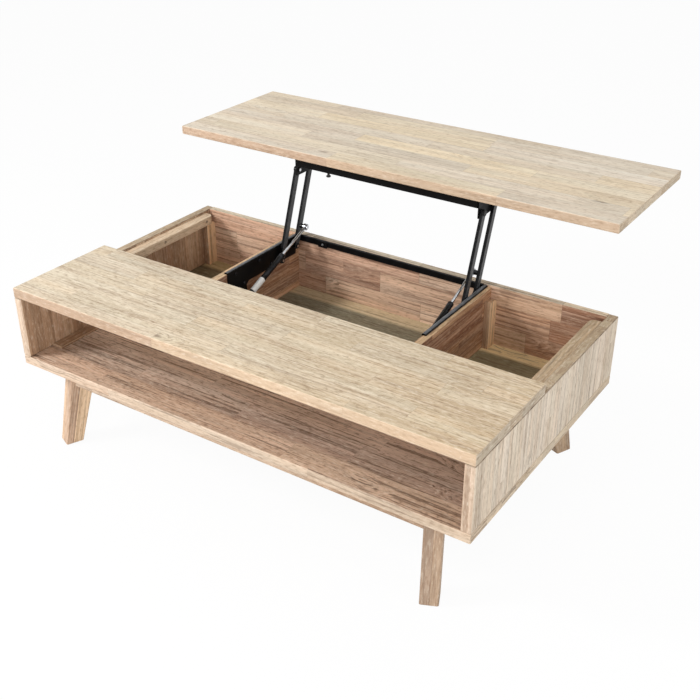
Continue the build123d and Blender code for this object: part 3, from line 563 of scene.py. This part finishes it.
# Leg bolts and inserts: zinc plated hanger bolts in threaded inserts, hidden in the legs and the bottom
# panel. The lower studs and the rod eyes of the gas springs have the same plating.
def plated(name, tone, rough, stretch):
    """Bare or plated metal: fine turning marks, cloudy tarnish and greasy patches."""
    material, tree, shader, spots = new_material(name)
    tarnish_scale, tarnish_share, groove_shade = 120.0, 0.35, 0.72
    marks = noise(tree, spots["Object"], stretch, 3.0)
    tarnish = between(tree, noise(tree, spots["Object"], [tarnish_scale] * 3, 3.0), 0.42, 0.7)
    low = [channel * groove_shade for channel in tone]
    colour = blend(tree, marks, srgb(*low), srgb(*tone))
    colour = blend(tree, sums(tree, "MULTIPLY", tarnish, tarnish_share), colour, srgb(150, 146, 138))
    smear = sums(tree, "MULTIPLY_ADD", tarnish, 0.18, rough)
    smear = sums(tree, "MULTIPLY_ADD", marks, 0.08, smear)
    feed(tree, shader, colour, smear, marks, strength=0.12, depth=0.0002)
    shader.inputs["Metallic"].default_value = 1.0
    return material


zinc = plated("zinc_plate", (178, 180, 184), 0.24, (1500.0, 300.0, 300.0))
dress(zinc, "leg_hanger_bolts", "leg_insert_nuts", "lower_gas_studs", "rod_end_eyes")

# Screws: cross-recess countersunk screws, zinc plated in the cleats and black in the steel. Each set is one
# shape put on every screw's place with a turn of its own.
def islands(name):
    """Lowest and highest corner of each separate solid in a CAD node."""
    solid = bmesh.new()
    solid.from_mesh(nodes[name].data)
    same_point = 1e-6
    bmesh.ops.remove_doubles(solid, verts=solid.verts, dist=same_point)
    waiting = set(solid.verts)
    found = []
    while waiting:
        group = [waiting.pop()]
        for vertex in group:
            near = {edge.other_vert(vertex) for edge in vertex.link_edges} & waiting
            waiting -= near
            group.extend(near)
        low = Vector(min(vertex.co[axis] for vertex in group) for axis in range(3))
        high = Vector(max(vertex.co[axis] for vertex in group) for axis in range(3))
        found.append((low, high))
    solid.free()
    return sorted(found, key=lambda corners: tuple(corners[0]))


def lathe(profile, start=(0.0, 0.0, 0.0), direction=(0.0, 0.0, 1.0), segments=32, bare=None):
    """A turned shape: (distance along, radius) points spun about an axis and closed at both ends.

    A pair in place of a radius, (arm, root), makes that ring a cross, for a screwdriver's recess. bare is
    the distance beyond which metal shows through its paint.
    """
    axis = Vector(direction).normalized()
    side = axis.orthogonal().normalized()
    other = axis.cross(side)
    quarter = segments // 4
    turned = bmesh.new()
    shine = turned.verts.layers.float.new("bare")
    rings = []
    for along, radius in profile:
        ring = []
        for turn in range(segments if radius else 1):
            angle = math.tau * turn / segments
            reach = radius
            if isinstance(radius, tuple):
                reach = radius[0] if turn % quarter in (0, 1, quarter - 1) else radius[1]
            out = (side * math.cos(angle) + other * math.sin(angle)) * reach
            vertex = turned.verts.new(Vector(start) + axis * along + out)
            vertex[shine] = float(bare is not None and along >= bare)
            ring.append(vertex)
        rings.append(ring)
    for ring, after in zip(rings, rings[1:]):
        for turn in range(segments):
            following = (turn + 1) % segments
            corners = [ring[turn % len(ring)], ring[following % len(ring)]]
            corners += [after[following % len(after)], after[turn % len(after)]]
            turned.faces.new(list(dict.fromkeys(corners)))
    for ring in (rings[0], rings[-1]):
        if len(ring) > 1:
            turned.faces.new(ring)
    bmesh.ops.recalc_face_normals(turned, faces=turned.faces)
    return turned


def to_mesh(name, shape, sharp=40.0):
    """A finished bmesh as a mesh, smooth but for its sharp edges."""
    mesh = bpy.data.meshes.new(name)
    shape.to_mesh(mesh)
    shape.free()
    mesh.shade_smooth()
    mesh.set_sharp_from_angle(angle=math.radians(sharp))
    return mesh


def piece(name, mesh, material, body, slot, *replaced):
    """Puts a finished mesh in the scene, on the body that carries it, for the nodes it stands for."""
    mesh.materials.clear()
    mesh.materials.append(material)
    made = bpy.data.objects.new(name, mesh)
    scene.collection.objects.link(made)
    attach(made, body)
    if replaced:
        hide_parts(*replaced)


def make_fastener_tree():
    """Puts one fastener on each point, turned to the point's own facing and spun by chance."""
    tree = bpy.data.node_groups.new("set fasteners", "GeometryNodeTree")
    for label, kind in (
        ("Places", "NodeSocketGeometry"),
        ("Fastener", "NodeSocketObject"),
        ("Spin", "NodeSocketFloat"),
        ("Seed", "NodeSocketInt"),
        ("Finish", "NodeSocketMaterial"),
    ):
        tree.interface.new_socket(label, in_out="INPUT", socket_type=kind)
    tree.interface.new_socket("Fasteners", in_out="OUTPUT", socket_type="NodeSocketGeometry")
    given = tree.nodes.new("NodeGroupInput").outputs
    shape = add(tree, "GeometryNodeObjectInfo", {"Object": given["Fastener"]}).outputs["Geometry"]
    facing = add(tree, "GeometryNodeInputNamedAttribute", {"Name": "facing"}, data_type="FLOAT_VECTOR")
    facing = {"Vector": facing.outputs[0]}
    aimed = add(tree, "FunctionNodeAlignRotationToVector", facing, axis="Z").outputs[0]
    chance = add(tree, "FunctionNodeRandomValue", {"Seed": given["Seed"]}, data_type="FLOAT")
    tree.links.new(given["Spin"], chance.inputs[3])
    spin = add(tree, "ShaderNodeCombineXYZ", {2: chance.outputs[1]}).outputs[0]
    turned = {"Rotation": aimed, "Rotate By": spin}
    turned = add(tree, "FunctionNodeRotateRotation", turned, rotation_space="LOCAL").outputs[0]
    placed = {"Points": given["Places"], "Instance": shape, "Rotation": turned}
    placed = add(tree, "GeometryNodeInstanceOnPoints", placed).outputs[0]
    real = add(tree, "GeometryNodeRealizeInstances", {"Geometry": placed}).outputs[0]
    real = add(tree, "GeometryNodeSetMaterial", {"Geometry": real, "Material": given["Finish"]}).outputs[0]
    tree.links.new(real, tree.nodes.new("NodeGroupOutput").inputs[0])
    return tree


fastener_tree = make_fastener_tree()


def set_fasteners(name, shape, spots, material, seed, body, slot, *replaced):
    """Puts a shape's copies at (place, facing) pairs, as one plain mesh on the body that carries them."""
    model = bpy.data.objects.new(name + "_model", to_mesh(name + "_model", shape))
    points = bpy.data.meshes.new(name + "_places")
    points.from_pydata([place for place, facing in spots], [], [])
    facings = points.attributes.new("facing", "FLOAT_VECTOR", "POINT")
    for value, (place, facing) in zip(facings.data, spots):
        value.vector = facing
    holder = bpy.data.objects.new(name + "_places", points)
    for made in (model, holder):
        scene.collection.objects.link(made)
    modifier = holder.modifiers.new("set fasteners", "NODES")
    modifier.node_group = fastener_tree
    values = {"Fastener": model, "Spin": math.tau, "Seed": seed, "Finish": material}
    for item in fastener_tree.interface.items_tree:
        if item.name in values:
            modifier[item.identifier] = values[item.name]
    mesh = bpy.data.meshes.new_from_object(holder.evaluated_get(bpy.context.evaluated_depsgraph_get()))
    for made in (model, holder):
        bpy.data.objects.remove(made)
    piece(name, mesh, material, body, slot, *replaced)


def screw(head, shank, thick, length):
    """A pan-head screw along -Z with a cross cut into its head, the top of the head at the origin."""
    return lathe([
        (-length, 0.0), (-length + 2 * shank, shank), (-thick, shank), (-thick, head), (-0.45 * thick, head),
        (-0.12 * thick, 0.86 * head), (0.0, 0.62 * head), (0.0, (0.5 * head, 0.2 * head)),
        (-0.6 * thick, (0.4 * head, 0.12 * head)), (-0.7 * thick, 0.0),
    ])


def inward_spots(name):
    """Where each fastener of a node has its head, and its facing, for those that face the table's middle."""
    spots = []
    for low, high in islands(name):
        hand = 1.0 if low.x > 0 else -1.0
        middle = (low + high) / 2
        middle.x = hand * min(abs(low.x), abs(high.x))
        spots.append((middle, (-hand, 0.0, 0.0)))
    return spots


def screw_length(name, axis):
    """How long each fastener of a node is along an axis."""
    low, high = islands(name)[0]
    return high[axis] - low[axis]


head_radius = screw_length("cleat_screws", 2) / 2
shank_radius = head_radius / 2
head_thickness = 0.0025
cleat_screw = screw(head_radius, shank_radius, head_thickness, screw_length("cleat_screws", 0))
cleat_spots = inward_spots("cleat_screws")
set_fasteners(
    "cleat_screws_set", cleat_screw, cleat_spots, zinc, 4,
    "carcass", "zinc_steel", "cleat_screws",
)

# Base plates: folded steel plates screwed to the dividers, powder coated black, with a rolled lip over the
# divider's top edge and a deep lobe for the foot of the gas spring.
def powder_coat(name, tone, rough, painted_sheen=None):
    """Black powder coat: orange peel, dust on level faces, worn edges, and bare metal where marked.

    The last argument, (axis, colour), paints the faces that look along that axis a lighter colour in
    patches: a painted highlight that stands for light reflected off them.
    """
    material, tree, shader, spots = new_material(name)
    peel_scale, touch_scale, patch_scale = 700.0, 45.0, 90.0
    dust_share, wear_share, touched_shade = 0.08, 0.3, 1.35
    peel = noise(tree, spots["Object"], [peel_scale] * 3, 2.0)
    handled = between(tree, noise(tree, spots["Object"], [touch_scale] * 3, 4.0), 0.38, 0.68)
    normal = add(tree, "ShaderNodeSeparateXYZ", {0: spots["Normal"]}).outputs
    dust = sums(tree, "MULTIPLY", peel, dust_share)
    dust = sums(tree, "MULTIPLY", between(tree, normal["Z"], 0.5, 0.95), dust)
    worn = {"Spot": spots["Object"], "Facing": spots["Normal"], "Patches": patch_scale}
    worn = add(tree, "ShaderNodeGroup", worn, node_tree=edge_group).outputs["Mask"]
    bare = add(tree, "ShaderNodeAttribute", attribute_name="bare").outputs["Fac"]
    touched = [channel * touched_shade for channel in tone]
    colour = blend(tree, handled, srgb(*tone), srgb(*touched))
    # Painted highlight: the faces that look along the axis are made lighter, in patches, for reflected light.
    if painted_sheen:
        axis, bright = painted_sheen
        turned = between(tree, sums(tree, "ABSOLUTE", normal[axis]), 0.8, 0.98)
        turned = sums(tree, "MULTIPLY", turned, sums(tree, "MULTIPLY_ADD", handled, 0.3, 0.7))
        colour = blend(tree, turned, colour, srgb(*bright))
    colour = blend(tree, dust, colour, srgb(120, 116, 110))
    colour = blend(tree, sums(tree, "MULTIPLY", worn, wear_share), colour, srgb(84, 86, 92))
    colour = blend(tree, bare, colour, srgb(206, 207, 210))
    smear = sums(tree, "MULTIPLY_ADD", handled, 0.14, rough)
    smear = sums(tree, "MULTIPLY_ADD", bare, -0.12, smear)
    feed(tree, shader, colour, smear, peel, strength=0.15, depth=0.0002)
    tree.links.new(bare, shader.inputs["Metallic"])
    shader.inputs["Specular IOR Level"].default_value = 0.12
    return material


satin_paint = powder_coat("satin_black_paint", (7, 7, 8), 0.42)
dress(satin_paint, "left_base_plate", "right_base_plate", "base_spacers")

gloss_paint = powder_coat("gloss_black_paint", (9, 9, 10), 0.18)
# Painted highlight: the lip's upward faces are painted grey along its crown.
lip_paint = powder_coat("lip_paint_painted_highlight", (9, 9, 10), 0.18, ("Z", (104, 106, 110)))
lip_crown = 0.002
lip_over = 0.0003
lip_steps = 12
for side, hand in (("left", -1.0), ("right", 1.0)):
    low, high = (Vector(corner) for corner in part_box(f"{side}_base_plate"))
    inner, outer = sorted((abs(low.x), abs(high.x)))
    half = (outer - inner) / 2 + lip_over
    middle_x = hand * (outer + inner) / 2
    rise = high.z - divider_top_z + lip_crown
    lip = bmesh.new()
    ends = []
    for y in (low.y, high.y):
        end = []
        for step in range(lip_steps + 1):
            turn = math.pi * step / lip_steps
            spot = (middle_x + half * math.cos(turn), y, divider_top_z + rise * math.sin(turn) ** 0.5)
            end.append(lip.verts.new(spot))
        lip.faces.new(end)
        ends.append(end)
    for step in range(-1, lip_steps):
        lip.faces.new([ends[0][step], ends[0][step + 1], ends[1][step + 1], ends[1][step]])
    bmesh.ops.recalc_face_normals(lip, faces=lip.faces)
    piece(f"{side}_plate_lip", to_mesh(f"{side}_plate_lip", lip), lip_paint, "carcass", "black_steel")

black_screws = powder_coat("black_screws", (24, 24, 26), 0.22)
plate_screw = screw(head_radius, shank_radius, head_thickness, screw_length("base_plate_screws", 0))
plate_spots = inward_spots("base_plate_screws")
set_fasteners(
    "plate_screws_set", plate_screw, plate_spots, black_screws, 9,
    "carcass", "black_steel", "base_plate_screws",
)

# Cross tubes: thin rectangular steel tubes, one between the base plates and one between the brackets. A sheet
# clip with a bright bolt hangs on the rear one.
dress(satin_paint, "rear_cross_tube", "tube_clip", "upper_cross_tube")
clip_low, clip_high = (Vector(corner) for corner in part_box("tube_clip"))
bolt_radius = 0.0032
bolt_height = 0.002
bolt_hold = 0.001
bolt_spot = ((clip_low.x + clip_high.x) / 2, clip_low.y - bolt_height, (clip_low.z + clip_high.z) / 2)
clip_bolt = screw(bolt_radius, bolt_radius / 2, bolt_height, bolt_height + bolt_hold)
set_fasteners("clip_bolt", clip_bolt, [(bolt_spot, (0.0, -1.0, 0.0))], zinc, 2, "carcass", "zinc_steel")

# Arms and pivots: flat bars with round ends, two a side, that turn on shouldered rivets. The paint is off
# where the rivets were closed.
# Painted reflection: the arms' sides that look along X are painted grey in patches, for the sheen of light on
# them; their edges stay black.
arm_paint = powder_coat("arm_paint_painted_sheen", (8, 8, 9), 0.2, ("X", (84, 85, 87)))
dress(arm_paint, "left_front_arm", "right_front_arm", "left_rear_arm", "right_rear_arm")


def rivet(head, shank, thick, length, keeper):
    """A pivot rivet along -Z: a shouldered head with a bright closed end, and a keeper on the far end."""
    far = [(-length, 0.0), (-length, head), (-length + keeper, head)] if keeper else [(-length, 0.0)]
    shape = far + [(-length + keeper, shank), (-thick, shank), (-thick, head), (-0.4 * thick, head)]
    shape += [(-0.2 * thick, 0.88 * head), (-0.16 * thick, 0.54 * head), (-0.14 * thick, 0.52 * head)]
    return lathe(shape + [(-0.04 * thick, 0.42 * head), (0.0, 0.22 * head), (0.0, 0.0)], bare=-0.15 * thick)


pin_thickness = 0.003
pin_radius = 0.004
pin_keeper = 0.0015
for node, body, keeper in (
    ("front_base_pins", "carcass", 0.0),
    ("rear_base_pins", "carcass", 0.0),
    ("front_top_pins", "lift_top", pin_keeper),
    ("rear_top_pins", "lift_top", pin_keeper),
):
    pin = rivet(screw_length(node, 2) / 2, pin_radius, pin_thickness, screw_length(node, 0), keeper)
    set_fasteners(node + "_set", pin, inward_spots(node), gloss_paint, 6, body, "black_steel", node)

# Top brackets: folded steel plates, powder coated as the base plates are, that hold the upper pivots. Black
# countersunk screws fix them under the lift top.
dress(satin_paint, "left_top_bracket", "right_top_bracket")
bracket_spots = []
for low, high in islands("bracket_screws"):
    middle = (low + high) / 2
    middle.z = low.z
    bracket_spots.append((middle, (0.0, 0.0, -1.0)))
sunk = screw_length("bracket_screws", 0) / 2
sunk_screw = lathe([
    (-screw_length("bracket_screws", 2), 0.0), (-sunk * 2, sunk / 2), (-sunk / 2, sunk / 2), (0.0, sunk),
    (0.0, (0.5 * sunk, 0.2 * sunk)), (-0.3 * sunk, (0.4 * sunk, 0.12 * sunk)), (-0.35 * sunk, 0.0),
])
set_fasteners(
    "bracket_screws_set", sunk_screw, bracket_spots, black_screws, 3,
    "lift_top", "black_steel", "bracket_screws",
)

# Buffer: a mushroom of black moulded rubber with a dull bloom, pushed into a hole under the upper tube. It
# softens the stop when the lift top is let down.
rubber, tree, shader, spots = new_material("black_rubber")
bloom_scale = 260.0
bloom = noise(tree, spots["Object"], [bloom_scale] * 3, 4.0)
tone = blend(tree, bloom, srgb(22, 22, 22), srgb(46, 45, 44))
dull = sums(tree, "MULTIPLY_ADD", bloom, 0.2, 0.6)
feed(tree, shader, tone, dull, bloom, strength=0.3, depth=0.0003)
low, high = (Vector(corner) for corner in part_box("rubber_buffer"))
top = Vector(((low.x + high.x) / 2, (low.y + high.y) / 2, high.z))
tall = high.z - low.z
wide = (high.x - low.x) / 2
buffer_profile = [
    (0.0, 0.0), (0.0, 0.58 * wide), (0.5 * tall, 0.5 * wide), (0.64 * tall, 0.6 * wide),
    (0.7 * tall, 0.94 * wide), (0.76 * tall, wide), (0.88 * tall, 0.96 * wide), (0.96 * tall, 0.8 * wide),
    (tall, 0.5 * wide), (tall, 0.0),
]
buffer = to_mesh("buffer_mushroom", lathe(buffer_profile, top, (0.0, 0.0, -1.0)), 60.0)
piece("buffer_mushroom", buffer, rubber, "lift_top", "black_rubber", "rubber_buffer")

# Gas springs: a ground and polished rod in a painted tube that is crimped round its guide, an eye screwed on
# the rod and a socket on the tube. They lift the top, and a plain white film band goes round each tube.
rod_steel = plated("polished_rod", (226, 228, 232), 0.1, (900.0, 900.0, 900.0))
film, tree, shader, spots = new_material("white_film")
smudge_scale, scuff_scale, scuff_share = 90.0, (60.0, 700.0, 700.0), 0.3
smudge = noise(tree, spots["Object"], [smudge_scale] * 3, 4.0)
scuffs = between(tree, noise(tree, spots["Object"], scuff_scale, 2.0), 0.6, 0.75)
tone = blend(tree, smudge, srgb(246, 246, 244), srgb(228, 228, 224))
tone = blend(tree, sums(tree, "MULTIPLY", scuffs, scuff_share), tone, srgb(186, 186, 182))
sheen = sums(tree, "MULTIPLY_ADD", smudge, 0.25, 0.22)
feed(tree, shader, tone, sheen, smudge, strength=0.1, depth=0.0002)
dress(film, "gas_tube_bands")


def middle_of(name):
    """The middle of a CAD node's box."""
    low, high = (Vector(corner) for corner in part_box(name))
    return (low + high) / 2


def span(name, start, direction):
    """How far a CAD node reaches from a point along a direction, nearest and furthest."""
    reach = [(vertex.co - start).dot(direction) for vertex in nodes[name].data.vertices]
    return min(reach), max(reach)


tube_paint = powder_coat("gas_tube_paint", (12, 12, 13), 0.2)
tube_radius = 0.0075
rod_radius = 0.0035
rod_chamfer = 0.001
spring_segments = 48
bore_radius = 0.00375
wall = 0.0015
guide_depth = 0.012
groove_radius = 0.9 * tube_radius
groove_half, groove_slope = 0.0005, 0.001
foot_step, foot_rounding, neck_rounding, mouth = 0.0008, 0.0025, 0.002, 0.0006
for side in ("left", "right"):
    x = middle_of(f"{side}_gas_rod").x
    foot = Vector((x, *middle_of("lower_gas_studs").yz))
    head = Vector((x, *middle_of("upper_gas_studs").yz))
    up = (head - foot).normalized()
    near, far = span(f"{side}_gas_cylinder", foot, up)
    groove = far - guide_depth
    inside = tube_radius - wall
    profile = [
        (near, 0.0), (near, 0.7 * tube_radius), (near + foot_step, 0.93 * tube_radius),
        (near + foot_rounding, tube_radius), (groove - groove_half - groove_slope, tube_radius),
        (groove - groove_half, groove_radius), (groove + groove_half, groove_radius),
        (groove + groove_half + groove_slope, tube_radius), (far - neck_rounding, tube_radius),
        (far - mouth, 0.92 * tube_radius), (far, 0.74 * tube_radius), (far, 0.62 * tube_radius),
        (far - mouth, bore_radius), (groove, bore_radius), (groove, inside), (near + wall, inside),
        (near + wall, 0.0),
    ]
    name = f"{side}_gas_tube"
    tube = to_mesh(name, lathe(profile, foot, up, spring_segments))
    piece(name, tube, tube_paint, "gas_cylinders", "black_steel", f"{side}_gas_cylinder")
    near, far = span(f"{side}_gas_rod", foot, up)
    profile = [(near, 0.0), (near, 0.8 * rod_radius), (near + rod_chamfer, rod_radius)]
    profile += [(far, rod_radius), (far, 0.0)]
    name = f"{side}_polished_rod"
    rod = to_mesh(name, lathe(profile, foot, up, spring_segments))
    piece(name, rod, rod_steel, "gas_rods", "polished_steel", f"{side}_gas_rod")
dress(satin_paint, "tube_end_sockets")

arm_bar = 0.008
keeper = 0.0025
eye_room = 0.009
stud_radius = 0.004
collar_radius = screw_length("upper_gas_studs", 2) / 2
stud_length = screw_length("upper_gas_studs", 0)
sleeve_start = arm_bar - stud_length
sleeve_end = -keeper - eye_room
chamfer = 0.0006
gas_stud = lathe(
    [
        (-stud_length, 0.0), (-stud_length, stud_radius), (sleeve_start, stud_radius),
        (sleeve_start, collar_radius - chamfer), (sleeve_start + chamfer, collar_radius),
        (sleeve_end - chamfer, collar_radius), (sleeve_end, collar_radius - chamfer),
        (sleeve_end, stud_radius), (-keeper, stud_radius), (-keeper, collar_radius),
        (-chamfer, collar_radius), (0.0, collar_radius - chamfer), (0.0, 0.4 * collar_radius),
        (-chamfer, 0.3 * collar_radius), (-chamfer, 0.0),
    ],
    bare=sleeve_end - chamfer / 2,
)
stud_spots = inward_spots("upper_gas_studs")
set_fasteners(
    "upper_gas_studs_set", gas_stud, stud_spots, gloss_paint, 8,
    "rear_arms", "zinc_steel", "upper_gas_studs",
)

# Studio: a pale paper floor without a visible edge, a small bright lamp from the left front, soft fills from
# the front, the right and above, and white light all round.
studio_reach = 12.0
floor_mesh = bpy.data.meshes.new("studio_floor")
floor_corners = [(-studio_reach, -studio_reach, 0.0), (studio_reach, -studio_reach, 0.0)]
floor_corners += [(studio_reach, studio_reach, 0.0), (-studio_reach, studio_reach, 0.0)]
floor_mesh.from_pydata(floor_corners, [], [(0, 1, 2, 3)])
studio_floor = bpy.data.objects.new("studio_floor", floor_mesh)
scene.collection.objects.link(studio_floor)
floor_glow = 0.95
paper_white = 0.85
paper, tree, shader = new_material("studio_paper")[:3]
shader.inputs["Base Color"].default_value = (paper_white, paper_white, paper_white, 1.0)
shader.inputs["Roughness"].default_value = 0.9
shader.inputs["Specular IOR Level"].default_value = 0.1
glow = add(tree, "ShaderNodeEmission", {"Color": (1.0, 1.0, 1.0, 1.0), "Strength": 1.0})


def seen_directly(tree):
    """1 for rays that come from the camera, straight or by way of a mirror or a clear body."""
    rays = add(tree, "ShaderNodeLightPath").outputs
    seen = sums(tree, "MAXIMUM", rays["Is Camera Ray"], rays["Is Glossy Ray"])
    return sums(tree, "MAXIMUM", seen, rays["Is Transmission Ray"])


share = sums(tree, "MULTIPLY", seen_directly(tree), floor_glow)
mixed = add(tree, "ShaderNodeMixShader", {0: share, 1: shader.outputs[0], 2: glow.outputs[0]})
tree.links.new(mixed.outputs[0], tree.nodes["Material Output"].inputs["Surface"])
floor_mesh.materials.append(paper)

world_light = 0.52
world = bpy.data.worlds.new("studio")
scene.world = world
world.use_nodes = True
tree = world.node_tree
sky = tree.nodes["Background"]
tree.links.new(between(tree, seen_directly(tree), 0.0, 1.0, world_light, 1.0), sky.inputs["Strength"])
sky.inputs["Color"].default_value = (1.0, 1.0, 1.0, 1.0)


def lamp(name, place, aim, size, watts):
    """A soft square lamp that looks at a point."""
    light = bpy.data.lights.new(name, "AREA")
    light.size = size
    light.energy = watts
    made = bpy.data.objects.new(name, light)
    made.location = place
    made.rotation_euler = (Vector(aim) - Vector(place)).to_track_quat("-Z", "Y").to_euler()
    scene.collection.objects.link(made)


lamp("key_lamp", (-2.1, -2.0, 2.2), (0.0, 0.0, 0.3), 0.7, 72.0)
lamp("front_lamp", (0.8, -3.0, 0.9), (0.0, -0.3, 0.25), 2.0, 42.0)
lamp("right_lamp", (2.8, -0.6, 1.2), (0.0, 0.0, 0.3), 1.5, 18.0)
lamp("top_lamp", (0.5, 1.2, 2.8), (0.1, 0.4, 0.6), 2.0, 14.0)

# Camera: stands before the table's right front corner and looks down on it, with the lens and the place that
# fit the table's straight edges.
camera_data = bpy.data.cameras.new("camera")
camera_data.lens = 53.48
camera_data.sensor_width = 36.0
camera = bpy.data.objects.new("camera", camera_data)
camera.location = (1.23994, -1.86048, 1.46216)
camera.rotation_euler = (math.radians(60.345), 0.0, math.radians(33.65))
scene.collection.objects.link(camera)
scene.camera = camera
scene.view_settings.view_transform = "Standard"
